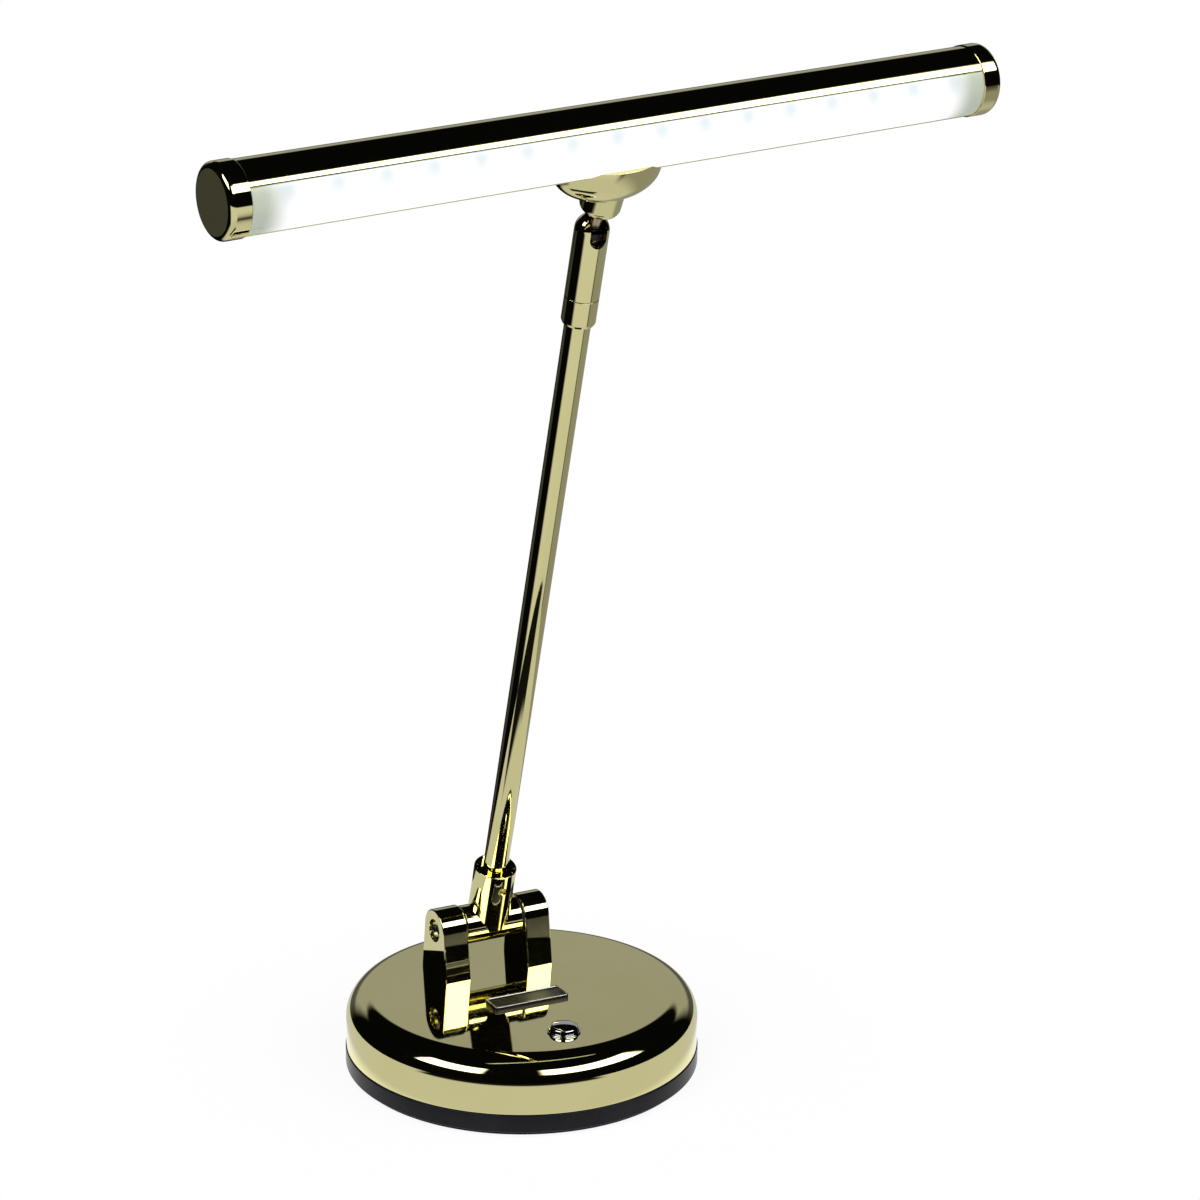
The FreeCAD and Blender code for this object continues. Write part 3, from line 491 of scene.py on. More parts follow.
def polished(slot, colour, tone, rough, mottle):
    """A plated or polished metal: broad changes of tone, faint wipe marks in the gloss and a very
    shallow waviness of the surface."""
    s = material(slot)
    spot = s.point()
    cloud = s.noise(spot, 26.0, 3.0)
    wipes = s.noise(s.stretched(spot, (1.0, 1.0, 0.22)), 420.0, 4.0, 0.62)
    specks = s.noise(spot, 1900.0, 2.0).smooth(0.66, 0.78)
    s.finish(s.surface(
        Base_Color=cloud.smooth(0.3, 0.7).blend(colour, tone),
        Metallic=1.0,
        Roughness=rough + mottle * wipes.smooth(0.42, 0.72) + mottle * specks,
        Normal=s.relief(s.noise(spot, 34.0, 1.0), 0.00002, 0.5)))


def moulded(slot, colour, tone, rough, grain, depth, shine=0.5):
    """A plastic, rubber or paint with a fine grain that shows in the gloss and the relief."""
    s = material(slot)
    spot = s.point()
    fine = s.noise(spot, grain, 3.0)
    dust = s.noise(spot, 60.0, 4.0).smooth(0.45, 0.75)
    s.finish(s.surface(
        Base_Color=dust.blend(colour, tone),
        Roughness=rough + 0.12 * dust + 0.06 * fine,
        Specular_IOR_Level=shine,
        Normal=s.relief(fine, depth)))


def framed():
    """The badge: a dark field with a fine cast grain inside a rim worn bright."""
    base = bpy.context.scene.lamp_base
    s = material("badge")
    up = s.split(s.point((0, 0, base.top)))[2]
    grain = s.noise(s.point(), 2600.0, 3.0)
    rim = (up + 0.0001 * grain).smooth(base.badge_thick - 0.00025, base.badge_thick - 0.0001)
    field = grain.blend((0.020, 0.020, 0.022), (0.055, 0.055, 0.06))
    s.finish(s.surface(
        Base_Color=rim.blend(field, (0.62, 0.62, 0.60)),
        Metallic=1.0,
        Roughness=0.34 - 0.18 * rim + 0.1 * grain,
        Normal=s.relief(grain, 0.00002, 0.6)))


def dark_ball_metal():
    """Plated steel whose ball is nearly black, where the shank above it is lighter."""
    matrix = stud_frame()
    s = material("stud_chrome")
    spot = s.point(tuple(matrix[:3, 3]), tuple(Matrix(matrix[:3, :3].tolist()).to_euler()))
    along = s.split(spot)[2]
    streaks = s.noise(s.point(), 900.0, 3.0)
    # Nearly black over the ball, lighter over the shank above it.
    shank_mask = (along + 0.001 * streaks).smooth(0.0045, 0.0062)
    s.finish(s.surface(
        Base_Color=shank_mask.blend((0.035, 0.026, 0.030), (0.55, 0.42, 0.30)),
        Metallic=1.0,
        Roughness=0.10 + 0.10 * streaks))


def glowing():
    """The opal diffuser lit from behind: white over each light, faintly blue-grey between two of
    them, and grey-green past the last light at both ends."""
    head = bpy.context.scene.lamp_head
    matrix = head_frame()
    s = material("diffuser")
    turn = Matrix(matrix[:3, :3].tolist()).to_euler()
    along, out, up = s.split(s.point(tuple(matrix[:3, 3]), tuple(turn)))
    between = ((along * (2 * math.pi / head.led_pitch)).wave() * -0.5 + 0.5) ** 1.5
    last = head.led_pitch * (head.led_count / 2 - 0.1)
    unlit = abs(along).smooth(last - 0.001, last + 0.011)
    slope = head.window
    height = up * math.cos(slope) + out * math.sin(slope)
    upper = height.smooth(0.0005, 0.0085)
    lower = height.smooth(-0.004, -0.0095)
    gap = between * (0.15 + 0.85 * upper)
    hot = gap.blend((1.0, 1.0, 1.0), (0.56, 0.62, 0.65))
    shaded = (0.35 * lower + 0.12 * upper).blend(hot, (0.6, 0.64, 0.66))
    grain = s.noise(s.point(), 900.0, 2.0)
    s.finish(s.surface(
        Base_Color=unlit.blend((0.24, 0.25, 0.25), (0.26, 0.28, 0.22)),
        Roughness=0.22 + 0.08 * grain,
        Emission_Color=unlit.blend(shaded, (0.30, 0.33, 0.28)),
        Emission_Strength=bpy.context.scene.lamp_stage.glow,
        Normal=s.relief(grain, 0.000004)))


def lit_chips():
    """The phosphor over the lights: bright in the middle and yellow towards the edges."""
    s = material("light_chip")
    cloud = s.noise(s.point(), 700.0, 2.0)
    s.finish(s.surface(
        Base_Color=cloud.blend((0.92, 0.86, 0.55), (0.96, 0.92, 0.74)),
        Roughness=0.4,
        Emission_Color=cloud.blend((1.0, 0.95, 0.85), (1.0, 0.98, 0.92)),
        Emission_Strength=1.0))


def board():
    """A green solder mask with fine tracks running along it."""
    s = material("circuit_board")
    across = s.split(s.point())[0]
    tracks = (across * 2600.0).wave().smooth(0.55, 0.8) * s.noise(s.point(), 90.0, 1.0).smooth(0.45, 0.5)
    s.finish(s.surface(
        Base_Color=tracks.blend((0.035, 0.16, 0.07), (0.06, 0.26, 0.12)),
        Roughness=0.35,
        Normal=s.relief(tracks, 0.00003)))


class LAMP_OT_materials(bpy.types.Operator):
    """Makes a procedural material for every slot and gives it to the CAD nodes"""
    bl_idname = "lamp.materials"
    bl_label = "Materials"

    def execute(self, context):
        polished("gold", (0.87, 0.815, 0.42), (0.84, 0.785, 0.39), 0.03, 0.03)
        polished("gold_screw", (0.72, 0.63, 0.30), (0.66, 0.58, 0.28), 0.12, 0.08)
        polished("chrome", (0.80, 0.81, 0.83), (0.72, 0.73, 0.76), 0.04, 0.04)
        polished("steel", (0.42, 0.41, 0.39), (0.30, 0.30, 0.30), 0.22, 0.12)
        polished("aluminium", (0.76, 0.76, 0.77), (0.68, 0.68, 0.70), 0.30, 0.10)
        framed()
        moulded("black_plastic", (0.008, 0.008, 0.011), (0.012, 0.012, 0.015), 0.22, 1400.0, 0.000003,
                shine=0.12)
        moulded("rubber", (0.008, 0.008, 0.009), (0.014, 0.014, 0.015), 0.6, 2400.0, 0.00001,
                shine=0.15)
        moulded("nylon", (0.04, 0.04, 0.04), (0.06, 0.06, 0.06), 0.45, 1200.0, 0.000006)
        moulded("cable", (0.02, 0.02, 0.022), (0.035, 0.035, 0.036), 0.45, 1500.0, 0.000006)
        moulded("cast_weight", (0.10, 0.10, 0.105), (0.16, 0.155, 0.15), 0.6, 900.0, 0.00006)
        dark_ball_metal()
        glowing()
        lit_chips()
        board()
        slots = {row["node"]: row["material_slot"] for row in frame["record"]["subparts"]}
        for name, node in frame["nodes"].items():
            node.data.materials.clear()
            node.data.materials.append(MATERIALS[slots[name]])
        return {"FINISHED"}


# Base
class LAMP_OT_base(bpy.types.Operator):
    """Builds the polished shell, the dark tray and the foot"""
    bl_idname = "lamp.base"
    bl_label = "Base"

    def execute(self, context):
        sizes = context.scene.lamp_base
        inner = sizes.radius - sizes.wall
        under = sizes.top - sizes.wall
        profile = path([
            (0, sizes.top), (sizes.radius, sizes.top, sizes.roll), (sizes.radius, sizes.seam, 0.35 * MM),
            (inner, sizes.seam), (inner, under, sizes.roll - sizes.wall), (0, under)], steps=20)
        shell = lathe("base_cup", profile, sizes.columns)
        spot = place((sizes.button_side, -sizes.button_front, sizes.top - 4 * sizes.wall))
        cutters = [rod("button_way", spot, sizes.button_radius + sizes.button_gap, 0, 8 * sizes.wall)]
        back = place((0, sizes.radius - 2 * sizes.wall, sizes.inlet_rise), "X", -math.pi / 2)
        cutters.append(rod("inlet_way", back, sizes.inlet_radius, 0, 4 * sizes.wall))
        finished(carved(shell, cutters), "gold", "base", "base_shell")

        outer = sizes.tray_radius
        lip = inner - sizes.tray_gap
        lip_top = sizes.seam + sizes.tray_lip
        hollow = inner - sizes.tray_wall
        floor = sizes.tray_low + sizes.tray_wall
        profile = path([
            (0, sizes.tray_low), (outer, sizes.tray_low, 0.5 * MM), (outer, sizes.seam, 0.5 * MM),
            (lip, sizes.seam, 0.2 * MM), (lip, lip_top), (hollow, lip_top), (hollow, floor), (0, floor)])
        tray = lathe("base_ring", profile, sizes.columns)
        finished(tray, "black_plastic", "base", "base_tray")

        profile = path([
            (0, 0), (sizes.foot_radius, 0, 0.5 * MM), (sizes.foot_radius, sizes.tray_low, 0.2 * MM),
            (0, sizes.tray_low)])
        foot = lathe("foot_disc", profile, sizes.columns)
        finished(foot, "rubber", "base", "foot_pad")
        return {"FINISHED"}


def rounded_loop(half_length, half_depth, corner, columns):
    """A closed loop round a rectangle with rounded corners: a quarter circle about each corner's
    centre, in order."""
    steps = columns // 4
    quarter = np.linspace(0, math.pi / 2, steps)
    loop = []
    for k, (sx, sy) in enumerate(((1, 1), (-1, 1), (-1, -1), (1, -1))):
        turns = quarter + k * math.pi / 2
        loop.append(np.stack([sx * (half_length - corner) + corner * np.cos(turns),
                              sy * (half_depth - corner) + corner * np.sin(turns)], axis=1))
    return np.concatenate(loop)


class LAMP_OT_controls(bpy.types.Operator):
    """Builds the push button, the ring round it and the bare badge"""
    bl_idname = "lamp.controls"
    bl_label = "Button and badge"

    def execute(self, context):
        sizes = context.scene.lamp_base
        spot = place((sizes.button_side, -sizes.button_front, sizes.top))
        low = -sizes.button_low - 1.0 * MM
        dome = np.linspace(0, 1, 16)[:, None]
        crown = np.hstack([sizes.button_radius * 0.80 * dome,
                           sizes.button_proud - 0.45 * MM * dome ** 2])
        flange = sizes.button_radius + sizes.flange
        flange_low = -sizes.flange_top - 1.0 * MM
        skirt = path([
            tuple(crown[-1]), (sizes.button_radius * 0.97, sizes.button_proud - 0.9 * MM, 0.7 * MM),
            (sizes.button_radius, 1.2 * MM, 0.3 * MM), (sizes.button_radius, -sizes.flange_top),
            (flange, -sizes.flange_top), (flange, flange_low), (sizes.button_post, flange_low),
            (sizes.button_post, low), (0, low)])
        profile = np.concatenate([crown[:-1], skirt])
        button = lathe("button_dome", profile, 96, spot)
        finished(button, "chrome", "button", "push_button")

        inner = sizes.button_radius + sizes.button_gap
        profile = path([
            (inner, 0.1 * MM), (inner, sizes.bezel_height, 0.15 * MM),
            (sizes.bezel_radius, sizes.bezel_height, 0.35 * MM), (sizes.bezel_radius, 0),
            (inner, 0)])
        ring = lathe("button_ring", profile, 96, spot, ring=True)
        finished(ring, "chrome", "base", "button_bezel")

        spot = place((sizes.badge_side, -sizes.badge_front, sizes.top), "Z", sizes.badge_turn)
        thick = sizes.badge_thick
        field = thick - sizes.badge_sink
        edge = 0.25 * MM
        rim = sizes.badge_rim
        steps = [(4 * MM, field, 0.3 * MM), (rim + edge, field, 0.4 * MM),
                 (rim, field + 0.05 * MM, 0.5 * MM),
                 (rim - 0.1 * MM, thick - 0.1 * MM, 0.55 * MM), (rim - edge, thick, 0.6 * MM),
                 (edge, thick, 0.9 * MM), (0.08 * MM, thick - 0.08 * MM, 1.0 * MM),
                 (0, thick - edge, 1.1 * MM), (0, 0, 1.1 * MM)]
        rows = []
        for inset, up, corner in steps:
            loop = rounded_loop(sizes.badge_length / 2 - inset, sizes.badge_depth / 2 - inset, corner,
                                64)
            rows.append(np.column_stack([loop, np.full(len(loop), up)]))
        rows.insert(0, np.tile([[0, 0, field]], (len(rows[0]), 1)))
        rows.append(np.tile([[0, 0, 0]], (len(rows[0]), 1)))
        badge = solid("badge_face", woven(moved(spot, np.stack(rows))), 50.0)
        finished(badge, "badge", "base", "badge_plate")
        return {"FINISHED"}


# Hinge
def cheek(name, side):
    """A cheek with a screw's recess: the outline is a round head on the hinge line, whose flanks
    are the two tangents that run down to the corners of the foot. Its rows go round the section,
    from the bore over the inner face, the side and the outer face back down the recess."""
    sizes = bpy.context.scene.lamp_hinge
    radius, foot, drop = sizes.round_head, sizes.foot, sizes.rise
    touch = math.acos(radius / math.hypot(drop, foot)) - math.atan2(drop, foot)
    corner = -math.atan2(drop, foot)
    turns = np.concatenate([
        np.linspace(corner, touch, 24, endpoint=False),
        np.linspace(touch, math.pi - touch, 72, endpoint=False),
        np.linspace(math.pi - touch, math.pi - corner, 24, endpoint=False),
        np.linspace(math.pi - corner, 2 * math.pi + corner, 24, endpoint=False)])
    folded = np.where(np.cos(turns) < 0, math.pi - turns, turns)
    folded = np.where(folded < -math.pi, folded + 2 * math.pi, folded)
    flank = radius / np.maximum(np.cos(folded - touch), 0.05)
    low = drop / np.maximum(-np.sin(turns), 1e-6)
    outline = np.where(np.sin(folded) > math.sin(touch) - 1e-9, radius, np.minimum(flank, low))
    edge, thick = sizes.edge, sizes.thick
    share = np.linspace(0, math.pi / 2, 6)
    rows = [(0, sizes.bore, 0), (1, -1.3 * edge, 0)]
    rows += [(1, edge * (math.sin(t) - 1), edge * (1 - math.cos(t))) for t in share]
    rows += [(1, 0, 1.3 * edge), (1, 0, thick - 1.3 * edge)]
    rows += [(1, edge * (math.cos(t) - 1), thick - edge * (1 - math.sin(t))) for t in share]
    deep = thick - sizes.recess_depth
    rows += [(1, -1.3 * edge, thick), (0, sizes.recess + 0.35 * MM, thick),
             (0, sizes.recess + 0.25 * MM, thick), (0, sizes.recess + 0.07 * MM, thick - 0.07 * MM),
             (0, sizes.recess, thick - 0.25 * MM), (0, sizes.recess, deep), (0, sizes.bore, deep)]
    rows = np.array(rows)
    reach = rows[:, :1] * outline + rows[:, 1:2]
    across = np.broadcast_to(side * (sizes.gap / 2 + rows[:, 2:]), reach.shape)
    grid = np.stack([across, reach * np.cos(turns), reach * np.sin(turns)], axis=-1)
    return solid(name, woven(moved(hinge_frame(), grid), close_rows=True))


class LAMP_OT_hinge(bpy.types.Operator):
    """Builds the two cheeks and the knuckle between them"""
    bl_idname = "lamp.hinge"
    bl_label = "Hinge"

    def execute(self, context):
        sizes = context.scene.lamp_hinge
        arm = context.scene.lamp_arm
        finished(cheek("hinge_cheek_left", -1), "gold", "base", "cheek_left")
        finished(cheek("hinge_cheek_right", 1), "gold", "base", "cheek_right")

        rim = (sizes.mouth + sizes.stem) / 2
        end = sizes.stem_length
        bore = arm.radius + arm.gap
        profile = path([
            (0, 0), (sizes.stem, 0, 0.6 * MM), (sizes.stem, end, 0.3 * MM), (rim, end),
            (sizes.mouth, end - (sizes.stem - sizes.mouth) / 2), (sizes.mouth, end - sizes.mouth_depth),
            (bore, end - sizes.mouth_depth), (bore, sizes.socket), (0, sizes.socket)])
        stem = lathe("knuckle_stem", profile, 128, arm_frame())
        grub = rod("grub_way", arm_frame() @ place((0, 0, sizes.grub_rise), "X", math.pi / 2),
                   sizes.grub, 0, 2 * sizes.stem, 48)
        carved(stem, [grub])
        finished(stem, "gold", "arm", "arm_socket")

        half = sizes.barrel_half
        profile = path([(0, -half), (sizes.barrel, -half, 0.4 * MM), (sizes.barrel, half, 0.4 * MM),
                        (0, half)])
        lying = arm_frame() @ place(axis="Y", turn=math.pi / 2)
        barrel = lathe("knuckle_barrel", profile, 128, lying)
        finished(barrel, "gold", "arm", "arm_socket")
        return {"FINISHED"}


# Arm and ball joint
class LAMP_OT_arm(bpy.types.Operator):
    """Builds the arm and the collar at its end"""
    bl_idname = "lamp.arm"
    bl_label = "Arm"

    def execute(self, context):
        sizes = context.scene.lamp_arm
        collar = sizes.reach - sizes.collar
        seam = sizes.reach - sizes.seam
        end = collar + sizes.hold
        profile = path([(0, sizes.foot), (sizes.radius, sizes.foot), (sizes.radius, end), (0, end)])
        tube = lathe("arm_rod", profile, sizes.columns, arm_frame())
        finished(tube, "gold", "arm", "arm_tube")
        bore = sizes.radius + sizes.gap
        spigot = sizes.bore - sizes.gap
        spigot_end = seam + sizes.spigot
        shoulder = end + 0.1 * MM
        profile = path([
            (bore, collar), (sizes.sleeve - 0.5 * MM, collar, 0.2 * MM),
            (sizes.sleeve, collar + 1.0 * MM, 0.5 * MM), (sizes.sleeve, seam, 0.15 * MM),
            (spigot, seam), (spigot, spigot_end), (sizes.lead, spigot_end), (sizes.lead, shoulder),
            (bore, shoulder)])
        ring = lathe("arm_collar", profile, sizes.columns, arm_frame(), ring=True)
        finished(ring, "gold", "arm", "joint_collar")
        return {"FINISHED"}


class LAMP_OT_joint(bpy.types.Operator):
    """Builds the slotted sleeve and the ball stud in it"""
    bl_idname = "lamp.joint"
    bl_label = "Ball joint"

    def execute(self, context):
        sizes = context.scene.lamp_arm
        centre = sizes.reach
        dome = centre + sizes.dome
        low = centre - sizes.seam + 0.15 * MM
        rise = np.linspace(0, math.pi / 2, 25)[:, None]
        arc = np.hstack([np.cos(rise), np.sin(rise)])
        outside = arc * sizes.sleeve + (0, dome)
        inside = arc[::-1] * sizes.bore + (0, dome)
        start = path([(sizes.bore, low), (sizes.sleeve, low, 0.15 * MM), tuple(outside[0])])
        profile = np.concatenate([start[:-1], outside, inside, [(sizes.bore, low)]])
        profile[np.abs(profile) < 1e-9] = 0.0
        sleeve = lathe("joint_sleeve_tube", profile, sizes.columns, arm_frame())
        half = sizes.slot / 2
        middle = centre - sizes.slot_below + half
        turns = np.linspace(math.pi, 2 * math.pi, 33)
        loop = np.stack([half * np.cos(turns), middle + half * np.sin(turns)], axis=1)
        loop = np.concatenate([loop, [(half, centre + 12 * MM), (-half, centre + 12 * MM)]])
        far = -2 * sizes.sleeve
        hub = loop.mean(axis=0)
        rows = [(hub[None] + 0 * loop, 0.0), (loop, 0.0), (loop, far), (hub[None] + 0 * loop, far)]
        block = np.stack([np.column_stack([line[:, 0], np.full(len(line), deep), line[:, 1]])
                          for line, deep in rows])
        slot = solid("slot_way", woven(moved(arm_frame(), block)))
        mouth = rod("mouth_way", arm_frame() @ place((0, 0, centre)), half, 0, 2 * sizes.sleeve)
        finished(carved(sleeve, [slot, mouth]), "gold", "joint_sleeve", "ball_sleeve")

        top = math.acos(sizes.shank / sizes.ball)
        turns = np.linspace(-math.pi / 2, top - 0.06, 40)[:, None]
        ball = np.hstack([np.cos(turns), np.sin(turns)]) * sizes.ball
        ball[0, 0] = 0.0
        shank = path([tuple(ball[-1]), (sizes.shank, ball[-1, 1] + 0.35 * MM, 0.5 * MM),
                      (sizes.shank, sizes.shank_top), (0, sizes.shank_top)])
        profile = np.concatenate([ball[:-1], shank])
        stud = lathe("joint_stud", profile, sizes.columns, stud_frame())
        finished(stud, "chrome", "stud", "ball_stud")
        stud.data.materials[0] = MATERIALS["stud_chrome"]  # Chrome with a nearly black ball.
        return {"FINISHED"}


# Head
def bar_section(outer, inner, start, finish, steps):
    """A closed loop of angle and radius: out along the outside and back along the inside, with the
    four corners broken."""
    turns = np.linspace(start, finish, steps)
    soft = min(0.25 * MM, (outer - inner) / 3)
    lead = soft / outer
    turns[0] += lead
    turns[-1] -= lead
    out = np.column_stack([turns, np.full(steps, outer)])
    back = np.column_stack([turns[::-1], np.full(steps, inner)])
    far = [(finish, outer - soft), (finish, inner + soft)]
    near = [(start, inner + soft), (start, outer - soft)]
    return np.concatenate([out, far, back, near])


def bar_strip(name, outer, inner, start, finish, half, steps=96):
    """A strip along the bar with a curved section, closed at both ends onto its middle line."""
    loop = bar_section(outer, inner, start, finish, steps)
    flat = np.column_stack([loop[:, 0], np.full(len(loop), (outer + inner) / 2)])
    rows = []
    for along, line in ((-half, flat), (-half, loop), (-half + 0.2 * MM, loop), (0.0, loop),
                        (half - 0.2 * MM, loop), (half, loop), (half, flat)):
        turn, reach = line.T
        rows.append(np.column_stack([
            np.full(len(line), along), -reach * np.cos(turn), reach * np.sin(turn)]))
    return solid(name, woven(moved(head_frame(), np.stack(rows))))


class LAMP_OT_bar(bpy.types.Operator):
    """Builds the light bar's profile, its diffuser and the two end caps"""
    bl_idname = "lamp.bar"
    bl_label = "Light bar"

    def execute(self, context):
        sizes = context.scene.lamp_head
        low = sizes.window - sizes.window_half
        high = sizes.window + sizes.window_half
        profile = bar_strip("bar_profile", sizes.bar, sizes.bar - sizes.bar_wall, high,
                            2 * math.pi + low, sizes.half, sizes.columns)
        finished(profile, "gold", "head", "lamp_housing")
        outer = sizes.bar - sizes.inset
        window = bar_strip("bar_diffuser", outer, outer - sizes.diffuser_wall, low + sizes.diffuser_gap,
                           high - sizes.diffuser_gap, sizes.half)
        finished(window, "diffuser", "head", "diffuser")

        plug = outer - sizes.diffuser_wall - sizes.plug_gap
        face = 0.05 * MM
        section = path([
            (0, -sizes.plug), (plug, -sizes.plug), (plug, face), (sizes.cap, face, 0.35 * MM),
            (sizes.cap, sizes.cap_length, sizes.cap_round), (0, sizes.cap_length)], steps=12)
        for side, label in ((-1, "left"), (1, "right")):
            spot = head_frame() @ place((side * sizes.half, 0, 0), "Y", side * math.pi / 2)
            cap = lathe(f"bar_cap_{label}", section, sizes.columns, spot)
            finished(cap, "gold", "head", f"end_cap_{label}")
        return {"FINISHED"}


class LAMP_OT_neck(bpy.types.Operator):
    """Builds the neck over the ball joint and the bowl under the bar: half an ellipsoid, longer along
    the bar than across it, with an upright wall up to the bar"""
    bl_idname = "lamp.neck"
    bl_label = "Neck and bowl"

    def execute(self, context):
        sizes = context.scene.lamp_head
        arm = context.scene.lamp_arm
        bore = arm.shank + arm.gap
        top = -sizes.neck_top
        profile = path([
            (bore, -sizes.neck_low), (sizes.neck, -sizes.neck_low, sizes.neck_round), (sizes.neck, top),
            (bore, top)], steps=16)
        neck = lathe("head_collar", profile, 128, head_frame(), ring=True)
        finished(neck, "gold", "head", "head_neck")

        dip = np.linspace(math.pi / 2, 0, 40)
        turns = np.linspace(0, 2 * math.pi, 193)[:-1]
        wall = sizes.bowl_wall
        across = np.concatenate([np.cos(dip), [1.0, 0.995, 0.985, 0.97, 0.0]])
        across[0] = 0.0
        lip = wall - np.array([0.25, 0.07, 0.0, 0.0, 0.0]) * MM
        up = np.concatenate([-sizes.bowl_depth * np.sin(dip), lip])
        grid = np.stack([
            sizes.bowl_shift + across[:, None] * sizes.bowl_along * np.cos(turns),
            across[:, None] * sizes.bowl_across * np.sin(turns),
            np.broadcast_to(up[:, None] - sizes.bowl_widest, (len(up), len(turns)))], axis=-1)
        bowl = solid("head_bowl", woven(moved(head_frame(), grid)))
        finished(bowl, "gold", "head", "head_saucer")
        return {"FINISHED"}


# Stage
def studio(stage):
    """White behind everything for the camera. For every other ray a dark room with two white panes
    in front, a grey wall behind and pale ground, which is duller to the right and dark to the left.
    Bearings are in radians from the camera's direction, over nought to the camera's right; up is
    the sine of the elevation."""
    world = bpy.data.worlds.new("studio")
    bpy.context.scene.world = world
    s = Shader(world)
    seen = s.node("ShaderNodeLightPath", output="Is Camera Ray")
    across, deep, up = s.split(s.node("ShaderNodeTexCoord", output="Generated"))
    bearing = deep.math("ARCTAN2", across) - (stage.azimuth - math.pi / 2)
    bearing = (bearing + 3 * math.pi).math("MODULO", 2 * math.pi) - math.pi
    dark = 0.002

    ahead = bearing.smooth(-0.95, -0.70) * bearing.smooth(1.25, 1.08)
    left = bearing.smooth(-0.60, -0.80)
    line = bearing.bump(1.25, 0.13)
    patch = up.smooth(-0.40, -0.34) * bearing.bump(-2.19, 0.4).smooth(0.1, 0.4)
    side = left * (dark + 0.05 * patch) + (1 - left) * 0.30 * (1 - 0.85 * line)
    ground = ahead * 0.68 + (1 - ahead) * side
    beneath = up.smooth(-0.66, -0.82)
    ground = ground * (1 - beneath) + 0.6 * beneath

    behind = abs(bearing).smooth(2.35, 2.65)
    wall = behind * (0.09 + 0.27 * up.smooth(0.06, 0.20)) * up.smooth(0.48, 0.42)
    panes = bearing.bump(-0.87, 0.58).smooth(0.1, 0.3) + bearing.bump(0.92, 0.88).smooth(0.1, 0.3)
    panes = panes * up.smooth(0.43, 0.46) * up.smooth(0.75, 0.71)

    under = up.smooth(-0.16, -0.22)
    brightest = 4.0
    room = under * ground + (1 - under) * (dark + wall) + brightest * panes
    tone = (room * (1 / brightest)).blend((0, 0, 0), (1.0, 1.0, 1.0))
    shine = s.node("ShaderNodeBackground", {}, {"Color": tone, "Strength": brightest})
    white = s.node("ShaderNodeBackground", {}, {"Color": (1.0, 1.0, 1.0)})
    s.finish(s.node("ShaderNodeMixShader", {}, {0: seen, 1: shine, 2: white}), "ShaderNodeOutputWorld")


def floor_shader(stage):
    """Pale paper that stays close to white in the picture and keeps the lamp's soft shadow. In the
    polished metal it is white close to the base, duller further away and dark at the back on the
    left."""
    MATERIALS["floor"] = bpy.data.materials.new("floor")
    s = Shader(MATERIALS["floor"])
    paper = s.noise(s.point(), 900.0, 3.0)
    fibre = paper.blend((0.86, 0.86, 0.86), (0.9, 0.9, 0.9))
    diffuse = s.node("ShaderNodeBsdfDiffuse", {}, {"Color": fibre})
    away = s.node("ShaderNodeVectorMath", {"operation": "LENGTH"}, {0: s.point()}, "Value")
    rays = s.node("ShaderNodeLightPath").socket.node.outputs
    seen = Sum(s, rays["Is Camera Ray"])
    mirrored = Sum(s, rays["Is Glossy Ray"]) + Sum(s, rays["Is Transmission Ray"])
    # The first direction points to the middle of the dark part.
    x, y, _ = s.split(s.point(turn=(0, 0, stage.azimuth - math.radians(95.0))))
    back_left = away.smooth(0.115, 0.135) * y.math("ARCTAN2", x).bump(0.0, 1.1).smooth(0.1, 0.25)
    dull = mirrored.math("MULTIPLY", away.smooth(0.074, 0.084), clamp=True)
    near = dull.blend((1.0, 1.0, 1.0), (0.62, 0.62, 0.62))
    lost = mirrored.math("MULTIPLY", back_left, clamp=True)
    far = lost.blend((1.0, 1.0, 1.0), (0.01, 0.01, 0.01))
    white = s.node("ShaderNodeEmission", {}, {"Color": s.mixed(1.0, near, far, "MULTIPLY")})
    lit = 0.92
    share = seen * (lit + (1 - lit) * away.smooth(0.07, stage.floor * 0.95))
    share = share.math("ADD", mirrored, clamp=True)
    s.finish(s.node("ShaderNodeMixShader", {}, {0: share, 1: diffuse, 2: white}))


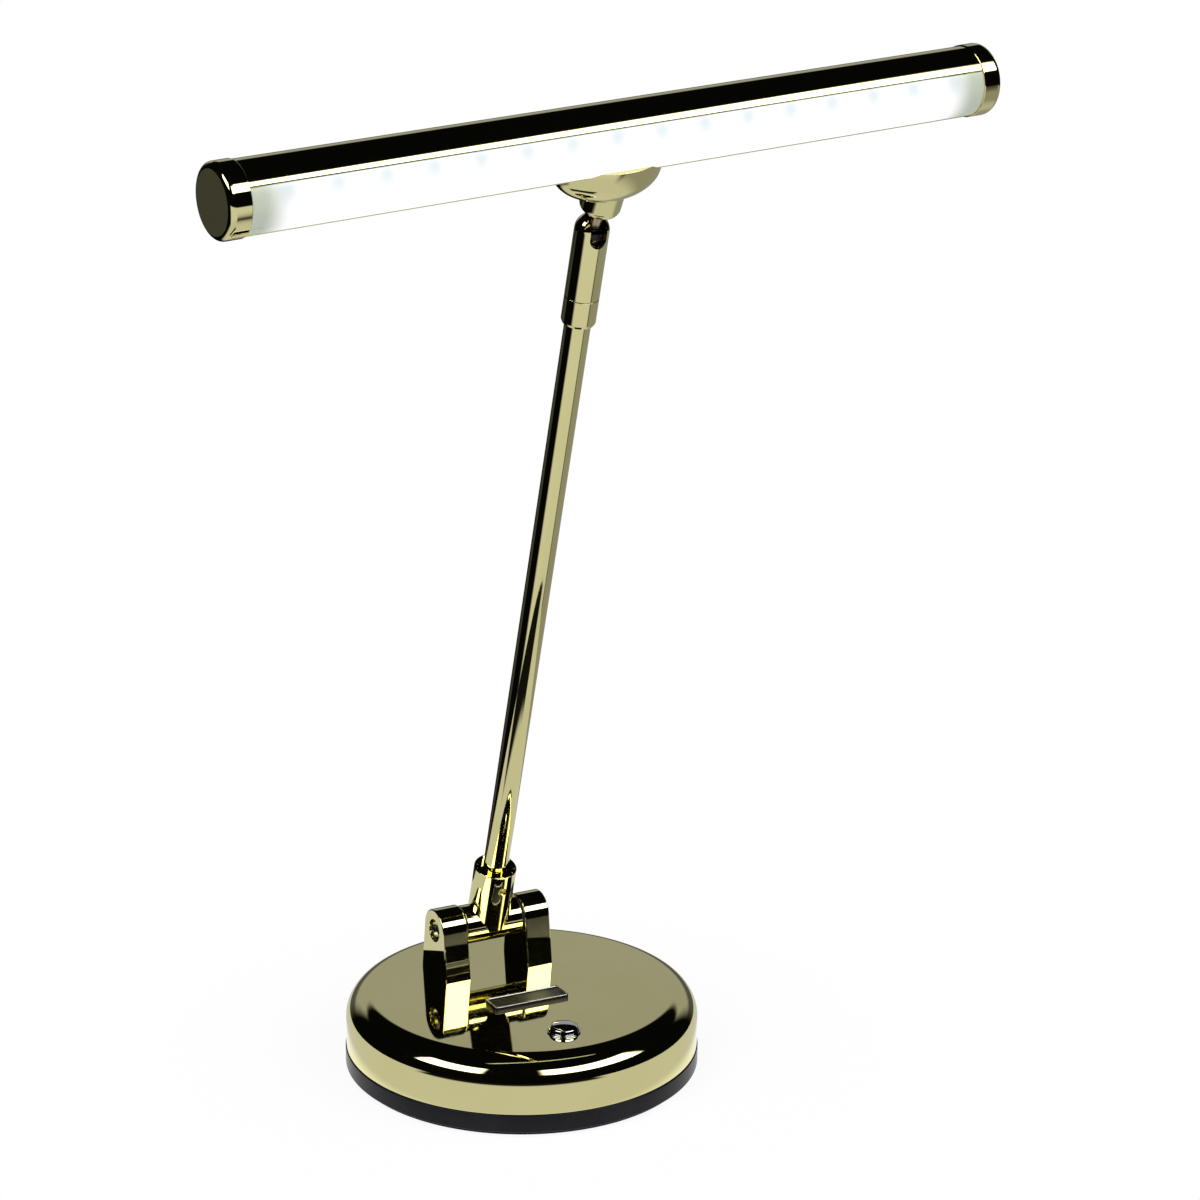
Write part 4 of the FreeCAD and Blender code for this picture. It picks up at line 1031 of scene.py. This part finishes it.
class LAMP_OT_stage(bpy.types.Operator):
    """Sets the floor, the soft lights, the room for reflections and the camera"""
    bl_idname = "lamp.stage"
    bl_label = "Stage"

    def execute(self, context):
        stage = context.scene.lamp_stage
        studio(stage)
        floor_shader(stage)
        turns = np.linspace(0, 2 * math.pi, 97)[:-1]
        rings = np.array([0.0, 0.1, 0.25, 0.45, 1.0]) * stage.floor
        grid = np.stack([rings[:, None] * np.cos(turns), rings[:, None] * np.sin(turns),
                         np.full((len(rings), len(turns)), -0.2 * MM)], axis=-1)
        points, quads, triangles = woven(grid)
        mesh = bpy.data.meshes.new("floor")
        mesh.from_pydata(points.tolist(), [], quads.tolist() + triangles.tolist())
        floor = bpy.data.objects.new("floor", mesh)
        context.scene.collection.objects.link(floor)
        floor.data.materials.append(MATERIALS["floor"])

        for name, spot, size, power in (("key", (-0.7, -0.5, 1.5), 1.2, 16.0),
                                        ("fill", (1.0, -0.6, 1.2), 1.4, 7.0)):
            lamp = bpy.data.lights.new(name, "AREA")
            lamp.shape = "DISK"
            lamp.size = size
            lamp.energy = power
            thing = bpy.data.objects.new(name, lamp)
            back = np.array(spot) - (0, 0, 0.1)
            thing.matrix_world = Matrix(facing(spot, back))
            thing.visible_glossy = False
            context.scene.collection.objects.link(thing)

        camera = bpy.data.cameras.new("camera")
        camera.lens = stage.lens
        camera.sensor_width = 36.0
        camera.clip_end = 20.0
        thing = bpy.data.objects.new("camera", camera)
        turn, rise = stage.azimuth, stage.elevation
        back = (math.sin(turn) * math.cos(rise), -math.cos(turn) * math.cos(rise), math.sin(rise))
        matrix = facing(stage.camera, back) @ place(axis="Z", turn=stage.roll)
        thing.matrix_world = Matrix(matrix)
        context.scene.collection.objects.link(thing)
        context.scene.camera = thing
        context.scene.view_settings.view_transform = "Standard"
        return {"FINISHED"}


def facing(spot, back):
    """A frame at a spot whose upward direction points back, with its side level."""
    back = np.array(back, float) / np.linalg.norm(back)
    side = np.cross((0, 0, 1), back)
    side = side / np.linalg.norm(side)
    matrix = np.identity(4)
    matrix[:3, 0] = side
    matrix[:3, 1] = np.cross(back, side)
    matrix[:3, 2] = back
    matrix[:3, 3] = spot
    return matrix


class LAMP_PT_panel(bpy.types.Panel):
    """The steps of the lamp in the order in which they run"""
    bl_idname = "LAMP_PT_panel"
    bl_label = "Piano lamp"
    bl_space_type = "VIEW_3D"
    bl_region_type = "UI"
    bl_category = "Lamp"

    def draw(self, context):
        for step in STEPS:
            self.layout.operator(step.bl_idname)
        for name in ("lamp_base", "lamp_hinge", "lamp_arm", "lamp_head", "lamp_stage"):
            box = self.layout.box()
            group = getattr(context.scene, name)
            for key in group.bl_rna.properties.keys():
                if key not in {"rna_type", "name"}:
                    box.prop(group, key, text=key.replace("_", " ").capitalize())


GROUPS = {"lamp_base": BaseSizes, "lamp_hinge": HingeSizes, "lamp_arm": ArmSizes,
          "lamp_head": HeadSizes, "lamp_stage": StageSettings}
STEPS = (LAMP_OT_materials, LAMP_OT_base, LAMP_OT_controls, LAMP_OT_hinge, LAMP_OT_arm,
         LAMP_OT_joint, LAMP_OT_neck, LAMP_OT_bar, LAMP_OT_stage)


def register():
    for kind in (*GROUPS.values(), *STEPS, LAMP_PT_panel):
        bpy.utils.register_class(kind)
    for name, kind in GROUPS.items():
        setattr(bpy.types.Scene, name, PointerProperty(type=kind))


def unregister():
    for name in GROUPS:
        delattr(bpy.types.Scene, name)
    for kind in (LAMP_PT_panel, *reversed(STEPS), *reversed(tuple(GROUPS.values()))):
        bpy.utils.unregister_class(kind)


def main():
    register()
    for step in (bpy.ops.lamp.materials, bpy.ops.lamp.base, bpy.ops.lamp.controls, bpy.ops.lamp.hinge,
                 bpy.ops.lamp.arm, bpy.ops.lamp.joint, bpy.ops.lamp.neck, bpy.ops.lamp.bar,
                 bpy.ops.lamp.stage):
        step()


if __name__ == "__main__":
    main()
